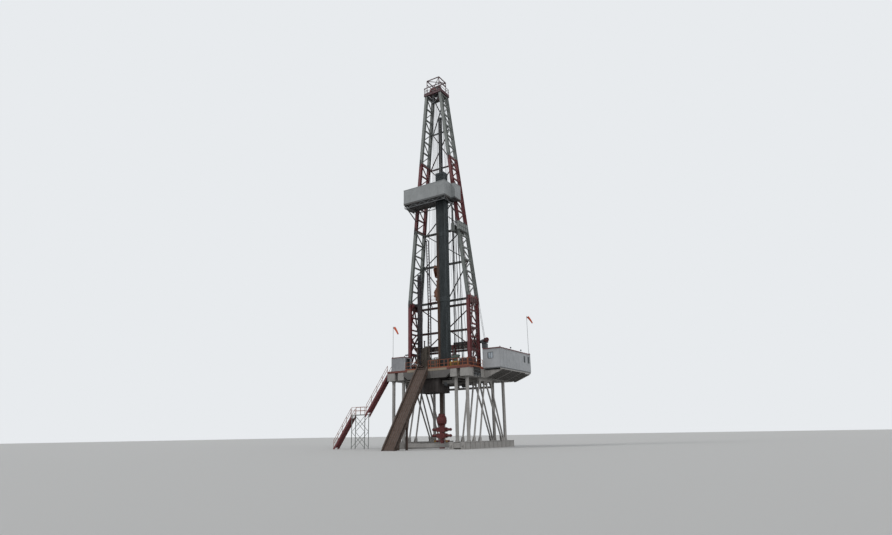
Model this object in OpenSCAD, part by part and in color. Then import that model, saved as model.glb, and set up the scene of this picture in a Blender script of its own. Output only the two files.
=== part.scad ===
// Land drilling rig with a front-open mast, raised drill floor and doghouse.
// 1:10 scale model, in millimetres of the model: 100 units are one metre of the real rig.
// Origin: well centre at ground level, on the lowest flange of the wellhead stack.
// +Z up, -Y towards the pipe ramp (front), +X towards the doghouse.

/* [Drill floor] */
// Height of the walking surface above the ground
floor_h = 1050; // [950:10:1150]
// Half of the floor's width
floor_half_w = 660; // [640:5:700]
// Reach of the floor in front of the well
floor_front = 380; // [370:5:420]
// Reach of the floor behind the well
floor_rear = 960; // [900:10:1040]
// Thickness of the deck plates on the girders
deck_t = 20; // [14:1:26]
// Depth of the main floor girders
girder_h = 110; // [90:5:130]

/* [Substructure] */
// Distance from the well line to the inner column row
inner_row = 430; // [410:5:440]
// Distance from the well line to the outer column row
outer_row = 600; // [590:5:605]
// Diameter of the round columns
column_d = 46; // [36:2:56]
// Height of the base beams on the ground
base_h = 90; // [70:5:110]
// Width of the base beams
base_w = 60; // [52:2:70]
// Reach of the base beams in front of the well
base_front = 470; // [430:10:520]
// Reach of the base beams behind the well
base_rear = 960; // [900:10:1040]
// Diameter of the round tubes of the side braces
brace_d = 24; // [18:1:28]

/* [Mast] */
// Height of the crown beams above the floor
mast_h = 4430; // [4200:10:4600]
// Height of the upright lower mast section above the floor
lower_h = 1030; // [960:10:1100]
// Half of the distance between the left and right chords at the floor
mast_foot_half_w = 503; // [480:1:520]
// Half of the distance between the left and right chords at the crown
mast_top_half_w = 130; // [124:1:150]
// Distance between the front and rear chords at the floor
mast_foot_depth = 255; // [235:5:275]
// Distance between the front and rear chords at the crown
mast_top_depth = 190; // [184:1:210]
// Overall size of the chord's H section
chord_w = 44; // [36:1:46]
// Wall of the chord's H section
chord_t = 5; // [4:0.5:7]
// Side of the horizontal bars
girt_w = 20; // [14:1:24]
// Side of the diagonal bars
diagonal_w = 13; // [9:1:16]

/* [Racking board] */
// Height of the racking board above the floor
board_z = 2500; // [2450:10:2550]
// Half of the racking board's width
board_half_w = 365; // [355:1:375]
// Reach of the racking board in front of the well
board_front = 405; // [395:5:430]
// Height of the wind walls
windwall_h = 222; // [180:2:260]
// Thickness of the wind walls
windwall_t = 6; // [4:0.5:8]

/* [Drill pipe] */
// Pipe body diameter
pipe_d = 12.7; // [10:0.1:14]
// Tool joint diameter
joint_d = 16.8; // [15:0.1:17.4]
// Length of one single of drill pipe
single_l = 975; // [950:5:985]
// Stands across the setback
stand_columns = 8; // [4:1:10]
// Stands from front to rear of the setback
stand_rows = 6; // [2:1:6]

/* [Pipe ramp] */
// Clear width of the ramp's deck
ramp_w = 160; // [140:5:200]
// Horizontal reach of the ramp
ramp_run = 750; // [700:10:850]

/* [Floor stairs] */
// Clear width of the stairs
stair_w = 90; // [75:5:100]
// Height of the landing above the ground
landing_z = 480; // [420:10:520]
// Length of the landing
landing_l = 260; // [150:5:280]
// Rise of one step
step_rise = 21; // [18:0.5:24]

/* [Doghouse] */
// Width of the doghouse across
dog_w = 268; // [250:2:290]
// Length of the doghouse
dog_l = 980; // [920:10:1000]
// Height of the doghouse from its floor to the roof's underside
dog_h = 255; // [240:5:280]
// Distance behind the well at which the doghouse begins
dog_start = 43; // [20:1:60]
// Wall thickness of the houses
house_t = 8; // [6:0.5:10]

/* [Hoisting gear] */
// Height of the top drive's lower end above the floor as parked
hook_z = 930; // [880:10:980]
// Radius of the rope sheaves
sheave_r = 70; // [60:1:73]
// Rope lines between the crown and the travelling block
rope_lines = 10; // [6:2:10]
// Rope diameter
rope_d = 3.8; // [3:0.1:4.5]

/* [Hidden] */
$fn = 32;

seat_gap = 0.3;       // running or seat clearance between separate pieces

// Levels
deck_top = floor_h;
deck_bottom = deck_top - deck_t;
girder_bottom = deck_bottom - girder_h;
foot_h = 60;
mast_base = deck_top + foot_h;
kink_z = deck_top + lower_h;
mast_top = deck_top + mast_h;

// Mast depth lines: the well lies between the front and rear chords at the crown
mast_foot_front = -45;
mast_top_front = -mast_top_depth / 2;
band_z = [mast_base, kink_z, kink_z + (mast_top - kink_z) * 0.334,
          kink_z + (mast_top - kink_z) * 0.66, mast_top];
side_panels = [5, 6, 6, 6];
// Rear girts as shares of their band's height, and bracing panels between them:
// lower girt, upper girt and form, where the girt after the last is the next band's first
rear_shares = [[0.24, 0.55, 0.94], [0.022, 0.52, 0.98], [0.482, 0.95], [0.485, 0.985]];
rear_panels = [[[0, 2, "x"]], [[0, 1, "v"], [1, 2, "x"], [2, 3, "x"]], [[0, 1, "x"], [1, 2, "x"]],
               [[0, 1, "x"]]];

function lerp(a, b, t) = a + (b - a) * t;
function side_level(s, i) = lerp(band_z[s] + 12, band_z[s + 1] - 12, i / side_panels[s]);
function rear_level(s, i) = i < len(rear_shares[s]) ? lerp(band_z[s], band_z[s + 1], rear_shares[s][i])
                                                    : rear_level(s + 1, 0);
function taper(z) = z <= kink_z ? 0 : (z - kink_z) / (mast_top - kink_z);
function chord_x(z) = lerp(mast_foot_half_w, mast_top_half_w, taper(z));
function chord_front(z) = lerp(mast_foot_front, mast_top_front, taper(z));
function chord_rear(z) = lerp(mast_foot_front + mast_foot_depth, mast_top_front + mast_top_depth, taper(z));

// Puts children along the line from a to b, their +Z towards b, without spin
module along(a, b) {
  v = b - a;
  lean = acos(v[2] / norm(v));
  heading = atan2(v[1], v[0]);
  translate(a) rotate([0, 0, heading]) rotate([0, lean, 0]) rotate([0, 0, -heading]) children();
}

// Puts children along a line that lies in an upright plane, their X in that plane
module along_plane(a, b) {
  v = b - a;
  lean = acos(v[2] / norm(v));
  heading = atan2(v[1], v[0]);
  translate(a) rotate([0, lean, heading]) children();
}

// Square bar between two points
module bar(a, b, w) {
  along_plane(a, b) translate([-w / 2, -w / 2, 0]) cube([w, w, norm(b - a)]);
}

// Rectangular bar between two points, w in the upright plane of the bar and d across it
module flat_bar(a, b, w, d) {
  along_plane(a, b) translate([-w / 2, -d / 2, 0]) cube([w, d, norm(b - a)]);
}

// Square bar that runs past both points by its own width, to be cut off level
module strut(a, b, w) {
  u = (b - a) / norm(b - a);
  bar(a - u * w, b + u * w, w);
}

// Round bar or pipe between two points
module rod(a, b, d, sides = 20) {
  along(a, b) cylinder(h = norm(b - a), d = d, $fn = sides);
}

// Round tube that runs past both points by its own width, to be cut off level
module long_rod(a, b, d) {
  u = (b - a) / norm(b - a);
  rod(a - u * d, b + u * d, d);
}

// I profile with its flanges across X, standing on Y = 0
module i_profile(w, h, flange_t, web_t) {
  polygon([[-w / 2, 0], [w / 2, 0], [w / 2, flange_t], [web_t / 2, flange_t],
           [web_t / 2, h - flange_t], [w / 2, h - flange_t], [w / 2, h], [-w / 2, h],
           [-w / 2, h - flange_t], [-web_t / 2, h - flange_t], [-web_t / 2, flange_t], [-w / 2, flange_t]]);
}

// H section centred on its web, with its flanges across X
module h_section(w, t) {
  translate([0, -w / 2]) i_profile(w, w, t, t);
}

// Box between two corners
module block(low, high) {
  translate(low) cube(high - low);
}

// Mirrors children to the left side when side is -1
module on_side(side) {
  if (side < 0) mirror([1, 0, 0]) children();
  else children();
}

/* Substructure */

column_y = [-floor_front + 70, 740];
tie_w = 24;
base_ties = [-base_front + tie_w, column_y[0], 200, column_y[1], base_rear - 2 * tie_w];

module base_beams() {
  color("gainsboro") for (side = [-1, 1]) on_side(side) {
    for (x = [inner_row, outer_row])
      block([x - base_w / 2, -base_front, 0], [x + base_w / 2, base_rear, base_h]);
    for (y = base_ties)
      block([inner_row + base_w / 2 + seat_gap, y - tie_w / 2, base_h * 0.2],
            [outer_row - base_w / 2 - seat_gap, y + tie_w / 2, base_h * 0.85]);
  }
}

module base_spreaders() {
  reach = inner_row - base_w / 2;
  color("gainsboro") for (y = column_y)
    block([-reach, y - tie_w, base_h * 0.25], [reach, y + tie_w, base_h * 0.8]);
}

cross_low = girder_bottom + 8;
tie_post_x = 150;

// Round columns, and the tie beam between the inner rear ones with its posts up to the floor
module columns() {
  flange_t = 6;
  tie_low = girder_bottom - 90;
  tie_high = girder_bottom - 60;
  reach = inner_row - column_d / 2 - seat_gap;
  color("whitesmoke") {
    for (side = [-1, 1], x = [inner_row, outer_row], y = column_y)
      translate([side * x, y, base_h]) union() {
        cylinder(h = girder_bottom - base_h, d = column_d);
        cylinder(h = flange_t, d = column_d + 12);
        translate([0, 0, girder_bottom - base_h - flange_t]) cylinder(h = flange_t, d = column_d + 12);
      }
    block([-reach, column_y[1] - 12, tie_low], [reach, column_y[1] + 12, tie_high]);
    for (x = [-tie_post_x, tie_post_x])
      block([x - 10, column_y[1] - 8, tie_high + seat_gap], [x + 10, column_y[1] + 8, cross_low]);
  }
}

brace_header_h = 40;
brace_header_out = 30;
// Feet and tops of the twin tubes along Y
brace_front_legs = [[-180, 20], [-20, 165]];
brace_rear_legs = [[630, 200], [685, 340]];

// Twin tubes of an inverted V in both column rows, under a header block below the girder
module side_braces() {
  header_low = girder_bottom - brace_header_h;
  header_r = brace_d / 2 + 4;
  color("gainsboro") for (side = [-1, 1], row = [inner_row, outer_row]) {
    x = side * row;
    block([x - header_r, brace_front_legs[0][1] - brace_header_out, header_low],
          [x + header_r, brace_rear_legs[1][1] + brace_header_out, girder_bottom]);
    for (leg = concat(brace_front_legs, brace_rear_legs)) intersection() {
      long_rod([x, leg[0], base_h], [x, leg[1], header_low], brace_d);
      block([x - brace_d, -floor_front, base_h], [x + brace_d, floor_rear, header_low - seat_gap]);
    }
  }
}

girder_half_w = [45, 60];

module floor_girders() {
  color("whitesmoke") for (side = [-1, 1]) on_side(side) {
    block([inner_row - girder_half_w[0], -floor_front, girder_bottom],
          [inner_row + girder_half_w[0], floor_rear, deck_bottom]);
    block([outer_row - girder_half_w[1], -floor_front, girder_bottom],
          [floor_half_w, floor_rear, deck_bottom]);
    for (y = [column_y[0], 200, column_y[1]])
      block([inner_row + girder_half_w[0] + seat_gap, y - tie_w / 2, girder_bottom + 20],
            [outer_row - girder_half_w[1] - seat_gap, y + tie_w / 2, deck_bottom - 20]);
  }
}

beam_flange_w = 36;
beam_flange_t = 8;
rotary_beam_y = 100;
front_beam_w = 40;
cross_rows = [-rotary_beam_y, rotary_beam_y, 330, 535, column_y[1], floor_rear - beam_flange_w / 2];

// Floor beam along the ground line from a to b, an I section between cross_low and the deck
module floor_beam(a, b) {
  turn = atan2(b[1] - a[1], b[0] - a[0]);
  translate([a[0], a[1], cross_low]) rotate([0, 0, turn]) rotate([90, 0, 90])
    linear_extrude(norm(b - a)) i_profile(beam_flange_w, deck_bottom - cross_low, beam_flange_t, 8);
}

module floor_cross_beams() {
  reach = inner_row - girder_half_w[0];
  edge = beam_flange_w / 2 + seat_gap;
  starts = concat([-floor_front + front_beam_w - beam_flange_w / 2], cross_rows);
  color("gainsboro") {
    for (y = cross_rows) floor_beam([-reach, y], [reach, y]);
    for (x = [-tie_post_x, tie_post_x], i = [0 : len(cross_rows) - 1])
      floor_beam([x, starts[i] + edge], [x, cross_rows[i] - edge]);
    // deep front beam, tapered up at both ends
    translate([0, -floor_front + front_beam_w, 0]) rotate([90, 0, 0]) linear_extrude(front_beam_w)
      polygon([[-reach, deck_bottom], [-reach, deck_bottom - 50], [-reach + 75, girder_bottom],
               [reach - 75, girder_bottom], [reach, deck_bottom - 50], [reach, deck_bottom]]);
  }
}

// Deep box frame that carries the setback and the front of the rotary
module setback_beams() {
  low = girder_bottom - 190;
  x = 170;
  y = [-floor_front + front_beam_w + 2, -200, -60];
  t = 16;
  color("dimgray") difference() {
    block([-x, y[0], low], [x, y[2], cross_low]);
    block([-x + t, y[0] + t, low - 1], [x - t, y[1] - t / 2, cross_low + 1]);
    block([-x + t, y[1] + t / 2, low - 1], [x - t, y[2] - t, cross_low + 1]);
  }
}

table_r = rotary_beam_y - beam_flange_w / 2 - seat_gap;
table_bore_r = 47.6;

module floor_deck() {
  color("firebrick") difference() {
    block([-floor_half_w, -floor_front, deck_bottom], [floor_half_w, floor_rear, deck_top]);
    translate([0, 0, deck_bottom - 1]) cylinder(h = deck_t + 2, r = table_r + 2);
  }
}

module rotary_table() {
  color("dimgray") translate([0, 0, deck_bottom - 30]) difference() {
    cylinder(h = deck_t + 34, r = table_r);
    translate([0, 0, -1]) cylinder(h = deck_t + 36, r = table_bore_r);
  }
}

stack_h = 500;
flange_bolts = 20;
flange_pcd = 67.31;
flange_hole_r = 2.54;

// Wellhead stack: drilling spool, double ram body and annular on top
module blowout_preventer() {
  color("firebrick") difference() {
    union() {
      cylinder(h = 14, r = 38.4);
      cylinder(h = 60, r = 24);
      translate([0, 0, 60]) cylinder(h = 12, r = 38.4);
      translate([0, 0, 72]) cylinder(h = 50, r = 26);
      rod([-75, 0, 97], [75, 0, 97], 16);
      for (x = [-75, 75]) translate([x, 0, 97]) rotate([0, 90, 0]) cylinder(h = 8, r = 16, center = true);
      translate([0, 0, 122]) cylinder(h = 12, r = 38.4);
      for (z = [134, 214]) {
        block([-60, -34, z + 4], [60, 34, z + 66]);
        rod([-150, 0, z + 35], [150, 0, z + 35], 34, 32);
      }
      translate([0, 0, 134]) cylinder(h = 160, r = 34);
      translate([0, 0, 294]) cylinder(h = 12, r = 38.4);
      translate([0, 0, 306]) rotate_extrude($fn = 48)
        polygon([[0, 0], [40, 0], [66, 26], [70, 60], [66, 104], [48, 130], [48, 150], [0, 150]]);
    }
    translate([0, 0, -1]) cylinder(h = stack_h, r = 17.3);
    for (i = [0 : flange_bolts - 1])
      rotate([0, 0, 360 / flange_bolts * (i + 0.5)]) translate([flange_pcd / 2, 0, -1])
        cylinder(h = 16, r = flange_hole_r);
  }
}

module bell_nipple() {
  low = 306 + 150;
  high = deck_bottom - 30;
  color("saddlebrown") difference() {
    union() {
      translate([0, 0, low]) cylinder(h = 10, r = 40);
      translate([0, 0, low]) cylinder(h = high - low, r = 26);
      translate([0, 0, high - 40]) cylinder(h = 40, r1 = 26, r2 = 52);
    }
    translate([0, 0, low - 1]) cylinder(h = high - low + 2, r = 22);
    translate([0, 0, high - 36]) cylinder(h = 37, r1 = 22, r2 = 48);
  }
}

/* Mast */

module mast_feet() {
  color("firebrick") for (x = [-1, 1], y = [chord_front(mast_base), chord_rear(mast_base)])
    translate([x * mast_foot_half_w, y, deck_top]) union() {
      block([-34, -34, 0], [34, 34, 8]);
      for (dx = [-26, 14]) block([dx, -20, 0], [dx + 12, 20, foot_h - 8]);
      rotate([0, 90, 0]) translate([-32, 0, -30]) cylinder(h = 60, d = 16);
      block([-26, -24, foot_h - 12], [26, 24, foot_h]);
    }
}

module mast_slab(s) {
  block([-2000, -2000, band_z[s]], [2000, 2000, band_z[s + 1]]);
}

// One chord as an H section that runs past both ends of its section, before the slab cuts it
module chord_run(s, side, rear) {
  z0 = band_z[s];
  z1 = band_z[s + 1];
  function at(z) = [side * lerp(chord_x(z0), chord_x(z1), (z - z0) / (z1 - z0)),
                    rear ? lerp(chord_rear(z0), chord_rear(z1), (z - z0) / (z1 - z0))
                         : lerp(chord_front(z0), chord_front(z1), (z - z0) / (z1 - z0)), z];
  along(at(z0 - 20), at(z1 + 20)) linear_extrude(z1 - z0 + 42) h_section(chord_w, chord_t);
}

module mast_side(s, side) {
  n = side_panels[s];
  color(s % 2 == 0 ? "firebrick" : "whitesmoke") intersection() {
    union() {
      chord_run(s, side, false);
      chord_run(s, side, true);
      for (i = [0 : n]) {
        z = side_level(s, i);
        bar([side * chord_x(z), chord_front(z), z], [side * chord_x(z), chord_rear(z), z], girt_w);
      }
      for (i = [0 : n - 1]) {
        a = side_level(s, i);
        b = side_level(s, i + 1);
        bar([side * chord_x(a), i % 2 == 0 ? chord_front(a) : chord_rear(a), a],
            [side * chord_x(b), i % 2 == 0 ? chord_rear(b) : chord_front(b), b], diagonal_w);
      }
    }
    mast_slab(s);
  }
}

// Rear girts, and X or V bracing, between the inner faces of the rear chords
module mast_rear(s) {
  last = len(rear_shares[s]);
  function reach(z) = chord_x(z) - chord_w / 2 - seat_gap;
  function corner(side, z) = [side * (reach(z) - girt_w), chord_rear(z), z];
  color(s % 2 == 0 ? "firebrick" : "whitesmoke") union() {
    for (i = [0 : last - 1]) {
      z = rear_level(s, i);
      w = reach(z + girt_w / 2);
      block([-w, chord_rear(z) - girt_w / 2, z - girt_w / 2], [w, chord_rear(z) + girt_w / 2, z + girt_w / 2]);
    }
    for (panel = rear_panels[s]) {
      low = rear_level(s, panel[0]);
      high = rear_level(s, panel[1]);
      foot = panel[2] == "v" ? 0 : 1;
      intersection() {
        union() for (side = [-1, 1])
          strut([-side * foot * corner(1, low)[0], chord_rear(low), low], corner(side, high), diagonal_w);
        block([-1000, -1000, low], [1000, 1000, panel[1] < last ? high : high - girt_w / 2 - seat_gap]);
      }
    }
  }
}

/* Crown */

crown_beam_h = 40;
crown_out = 32;
crown_top = mast_top + crown_beam_h;
crown_rail_h = 110;
hoist_frame_h = 250;
hoist_frame_x = 115;
hoist_frame_y = 105;
crown_axle_z = crown_top + 58;

module crown_frame() {
  x = mast_top_half_w + crown_out;
  y = mast_top_depth / 2 + crown_out;
  t = 26;
  bearing_x = 72;
  bearing_top = crown_axle_z + 16;
  guard_r = sheave_r + 12;
  v_low = mast_top - 160;
  v_high = mast_top - 50;
  v_reach = chord_x(v_high) - chord_w / 2 - 2 * seat_gap;
  color("firebrick") union() {
    difference() {
      block([-x, -y, mast_top], [x, y, crown_top]);
      block([-x + t, -y + t, mast_top - 1], [x - t, y - t, crown_top + 1]);
    }
    for (sx = [-1, 1]) {
      block([sx * bearing_x - 9, -y, mast_top + 2], [sx * bearing_x + 9, y, crown_top]);
      difference() {
        block([sx * bearing_x - 9, -28, crown_top - 1], [sx * bearing_x + 9, 28, bearing_top]);
        translate([sx * bearing_x - 10, 0, crown_axle_z]) rotate([0, 90, 0]) cylinder(h = 20, r = 10 + seat_gap);
      }
      block([sx * (bearing_x - 4) - 4, -5, bearing_top - 2], [sx * (bearing_x - 4) + 4, 5, crown_axle_z + guard_r + 3]);
    }
    // arched guard over the sheaves
    intersection() {
      translate([-bearing_x, 0, crown_axle_z]) rotate([0, 90, 0]) difference() {
        cylinder(h = 2 * bearing_x, r = guard_r + 4, $fn = 48);
        translate([0, 0, -1]) cylinder(h = 2 * bearing_x + 2, r = guard_r, $fn = 48);
      }
      block([-x, -y, crown_axle_z + guard_r * 0.55], [x, y, crown_axle_z + guard_r * 2]);
    }
    // V of bars in the front face under the crown
    block([-5, -mast_top_depth / 2 - 13, v_low], [5, -mast_top_depth / 2 + 5, mast_top + 1]);
    for (side = [-1, 1])
      bar([0, -mast_top_depth / 2, v_low], [side * v_reach, -mast_top_depth / 2, v_high], 10);
  }
}

sheave_count = rope_lines / 2;
sheave_pitch = 20;

module sheave() {
  rotate([0, 90, 0]) rotate_extrude($fn = 64)
    polygon([[0, -6], [14, -8], [14, -4], [sheave_r - 10, -3], [sheave_r - 6, -6], [sheave_r + 3, -6],
             [sheave_r - 2, -2], [sheave_r - 2, 2], [sheave_r + 3, 6], [sheave_r - 6, 6],
             [sheave_r - 10, 3], [14, 4], [14, 8], [0, 6]]);
}

module crown_sheaves() {
  color("saddlebrown") union() {
    for (i = [0 : sheave_count - 1])
      translate([(i - (sheave_count - 1) / 2) * sheave_pitch, 0, crown_axle_z]) sheave();
    translate([-82, 0, crown_axle_z]) rotate([0, 90, 0]) cylinder(h = 164, d = 20);
  }
}

module crown_rails() {
  x = mast_top_half_w + crown_out - 6;
  y = mast_top_depth / 2 + crown_out - 6;
  low = crown_top;
  top = low + hoist_frame_h;
  fx = hoist_frame_x;
  fy = hoist_frame_y;
  boom_z = top - 75;
  color("firebrick") union() {
    // rails round the platform
    for (sx = [-1, 0, 1], sy = [-1, 1]) bar([sx * x, sy * y, low], [sx * x, sy * y, low + crown_rail_h], 6);
    for (h = [crown_rail_h * 0.5, crown_rail_h - 3], s = [-1, 1]) {
      block([-x, s * y - 2.5, low + h - 2.5], [x, s * y + 2.5, low + h + 2.5]);
      block([s * x - 2.5, -y, low + h - 2.5], [s * x + 2.5, y, low + h + 2.5]);
    }
    // hoist frame over the sheaves
    for (sx = [-1, 1], sy = [-1, 1]) block([sx * fx - 4.5, sy * fy - 4.5, low], [sx * fx + 4.5, sy * fy + 4.5, top]);
    for (s = [-1, 1]) {
      block([-fx, s * fy - 6, top - 12], [fx, s * fy + 6, top]);
      block([s * fx - 6, -fy, top - 12], [s * fx + 6, fy, top]);
      bar([-fx, -s * fy, top - 6], [fx, s * fy, top - 6], 8);
      block([s * fx - 4, -fy, boom_z - 5], [s * fx + 4, fy, boom_z + 5]);
    }
    block([-x - 70, -30, boom_z + 4], [fx, -20, boom_z + 14]);
  }
}

/* Top drive guide */

rail_front = sheave_r + 9;
rail_back = rail_front + 14;
rail_half_w = 18;
rail_low = deck_top + 150;
rail_high = mast_top - 330;

module guide_rail() {
  color("dimgray") union() {
    block([-rail_half_w, rail_front, rail_low], [rail_half_w, rail_back, rail_high]);
    for (s = [0 : 3], i = [0 : len(rear_shares[s]) - 1]) {
      z = rear_level(s, i);
      if (z > rail_low && z < rail_high)
        block([-8, rail_back - 2, z - 8], [8, chord_rear(z) - girt_w / 2 - seat_gap, z + 8]);
    }
  }
}

/* Racking board */

board_level = deck_top + board_z;
board_beam_h = 22;
board_rear = chord_front(board_level) - chord_w / 2 - 2 * seat_gap;
wing_out = 430;
wing_front = -220;
wing_rear = -50;
stand_lean = 0;
stand_pitch_x = 19;
stand_pitch_y = 20.5;
setback_x = 133;
setback_y = -265;
finger_w = 5;
knee_drop = 175;

function stand_x(i, z) = setback_x + i * stand_pitch_x + stand_lean * (z - deck_top);
function stand_y(j) = setback_y + j * stand_pitch_y;

module racking_board() {
  z0 = board_level - board_beam_h;
  z1 = board_level;
  x = board_half_w;
  side_x = chord_x(z0) + chord_w / 2 + 2 * seat_gap;
  color("gray") union() {
    // outer frame
    for (s = [-1, 1]) {
      block([s > 0 ? x - 20 : -x, -board_front, z0], [s > 0 ? x : -x + 20, board_rear, z1]);
    }
    block([-x, -board_front, z0], [x, -board_front + 20, z1]);
    block([-x, board_rear - 20, z0], [x, board_rear, z1]);
    // diving board down the middle
    block([-45, -board_front, z0 + 8], [45, board_rear, z1]);
    // fingers on both sides
    for (s = [-1, 1], j = [0 : stand_rows]) {
      y = stand_y(j) - stand_pitch_y / 2;
      block([s > 0 ? 44 : -x + 10, y - finger_w / 2, z0 + 8], [s > 0 ? x - 10 : -44, y + finger_w / 2, z1 - 4]);
    }
    // knee braces under both ends, down to the mast's front chords
    for (s = [-1, 1]) intersection() {
      bar([s * (x - 10), -board_front + 14, z0 + 4], [s * (x - 10), board_rear + 20, z0 - knee_drop], 12);
      block([-x, -board_front, z0 - knee_drop - 20], [x, board_rear, z0 + 6]);
    }
    // side platforms round the mast's front legs
    for (s = [-1, 1])
      block([s > 0 ? side_x : -wing_out, wing_front, z0 + 6], [s > 0 ? wing_out : -side_x, wing_rear, z1]);
    for (s = [-1, 1])
      block([s > 0 ? x - 10 : -side_x - 10, wing_front, z0 + 6], [s > 0 ? side_x + 10 : -x + 10, wing_front + 24, z1]);
  }
}

module wind_walls() {
  z0 = board_level;
  z1 = board_level + windwall_h;
  t = windwall_t;
  x = board_half_w;
  color("whitesmoke") union() {
    block([-x, -board_front, z0], [x, -board_front + t, z1]);
    for (s = [-1, 1]) {
      block([s > 0 ? x - t : -x, -board_front, z0], [s > 0 ? x : -x + t, wing_front + t, z1]);
      block([s > 0 ? x - t : -wing_out, wing_front, z0], [s > 0 ? wing_out : -x + t, wing_front + t, z1]);
      block([s > 0 ? wing_out - t : -wing_out, wing_front, z0], [s > 0 ? wing_out : -wing_out + t, wing_rear, z1]);
    }
  }
}

/* Racked drill pipe */

module drill_pipe_stand() {
  r = pipe_d / 2;
  j = joint_d / 2;
  tool = 42;
  rotate_extrude($fn = 20) polygon([
    [0, 0], [j - 2, 0], [j, 4], [j, tool / 2], [r, tool / 2 + 6],
    [r, single_l - tool], [j, single_l - tool + 6], [j, single_l + tool / 2], [r, single_l + tool / 2 + 6],
    [r, 2 * single_l - tool], [j, 2 * single_l - tool + 6], [j, 2 * single_l + tool / 2],
    [r, 2 * single_l + tool / 2 + 6],
    [r, 3 * single_l - tool], [j, 3 * single_l - tool + 6], [j, 3 * single_l], [0, 3 * single_l]]);
}

module drill_pipe_stands() {
  color("darkslategray") for (i = [0 : stand_columns - 1], j = [0 : stand_rows - 1])
    translate([stand_x(i, deck_top), stand_y(j), deck_top + seat_gap])
      rotate([0, atan(stand_lean), 0]) drill_pipe_stand();
}

/* Hoisting gear */

drive_low = deck_top + hook_z;
drive_h = 300;
block_low = drive_low + drive_h + 150;
block_h = 190;
block_axle_z = block_low + 110;

module travelling_block() {
  cheek_r = sheave_r + 4;
  color("goldenrod") union() {
    for (s = [-1, 1]) {
      x = s * (sheave_count / 2 * sheave_pitch + 6);
      translate([x - 4, 0, 0]) rotate([90, 0, 90]) linear_extrude(8)
        polygon([[-30, block_low], [30, block_low], [cheek_r, block_axle_z], [cheek_r * 0.6, block_low + block_h],
                 [-cheek_r * 0.6, block_low + block_h], [-cheek_r, block_axle_z]]);
    }
    for (i = [0 : sheave_count - 1])
      translate([(i - (sheave_count - 1) / 2) * sheave_pitch, 0, block_axle_z]) sheave();
    translate([-66, 0, block_axle_z]) rotate([0, 90, 0]) cylinder(h = 132, d = 24);
    block([-56, -26, block_low], [56, 26, block_low + 26]);
    rod([0, 0, block_low - 60], [0, 0, block_low + 4], 30);
    block([-52, -14, block_low - 70], [52, 14, block_low - 44]);
  }
}

module top_drive() {
  z0 = drive_low;
  z1 = drive_low + drive_h;
  color("peru") union() {
    block([-44, -46, z0 + 90], [44, 30, z1 - 20]);
    block([-70, -38, z0 + 150], [-46, 24, z1 - 50]);
    block([46, -38, z0 + 150], [70, 24, z1 - 50]);
    block([-71, -20, z0 + 160], [71, 10, z0 + 190]);
    rod([0, 0, z0], [0, 0, z1 + 8], 18);
    rod([0, 0, z0 + 40], [0, 0, z0 + 92], 44);
    // carriage on the guide rail
    block([-34, 28, z0 + 120], [34, rail_front - 5, z0 + 250]);
    for (s = [-1, 1])
      block([s > 0 ? rail_half_w + 5 : -34, rail_front - 20, z0 + 120], [s > 0 ? 34 : -rail_half_w - 5, rail_back - 4, z0 + 250]);
    // bail up to the block
    for (s = [-1, 1]) bar([s * 56, 0, z1 - 60], [s * 42, 0, block_low - 71], 12);
    // links and elevator
    for (s = [-1, 1]) bar([s * 30, -10, z0 + 92], [s * 14, -10, z0 - 40], 8);
    translate([0, -10, z0 - 62]) cylinder(h = 24, r = 24);
  }
}

module drilling_lines() {
  color("dimgray") for (i = [0 : sheave_count - 1], s = [-1, 1])
    translate([(i - (sheave_count - 1) / 2) * sheave_pitch, s * (sheave_r - 2 + rope_d / 2 + seat_gap), block_axle_z])
      cylinder(h = crown_axle_z - block_axle_z, d = rope_d, $fn = 16);
}

/* Pipe ramp */

ramp_x = -70;
ramp_top_z = deck_top;
ramp_t = 34;
ramp_leg_share = 0.6;

module pipe_ramp() {
  y_top = -floor_front - seat_gap;
  y_foot = -floor_front - ramp_run;
  slope = atan(ramp_top_z / (y_top - y_foot));
  edge_h = 20;
  edge_w = 12;
  // height and reach of a layer that is t thick square to the slope
  function rise(t) = t / cos(slope);
  function reach(t) = t / sin(slope);
  color("saddlebrown") union() {
    translate([ramp_x - ramp_w / 2, 0, 0]) rotate([90, 0, 90]) linear_extrude(ramp_w)
      polygon([[y_foot, 0], [y_foot + reach(ramp_t), 0], [y_top, ramp_top_z - rise(ramp_t)],
               [y_top, ramp_top_z]]);
    for (s = [-1, 1])
      translate([ramp_x + s * (ramp_w + edge_w) / 2 - edge_w / 2, 0, 0])
        rotate([90, 0, 90]) linear_extrude(edge_w)
          polygon([[y_foot - reach(edge_h), 0], [y_foot + reach(ramp_t + 6), 0],
                   [y_top, ramp_top_z - rise(ramp_t + 6)], [y_top, ramp_top_z + rise(edge_h)]]);
    for (s = [-1, 1]) {
      y = lerp(y_top, y_foot, ramp_leg_share);
      x = ramp_x + s * (ramp_w / 2 - 14);
      block([x - 12, y - 12, 0], [x + 12, y + 12, ramp_top_z * (1 - ramp_leg_share) - rise(ramp_t / 2)]);
    }
  }
}

/* Stairs on the left */

stair_y = -320;
flight_slope = 54.5;

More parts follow.
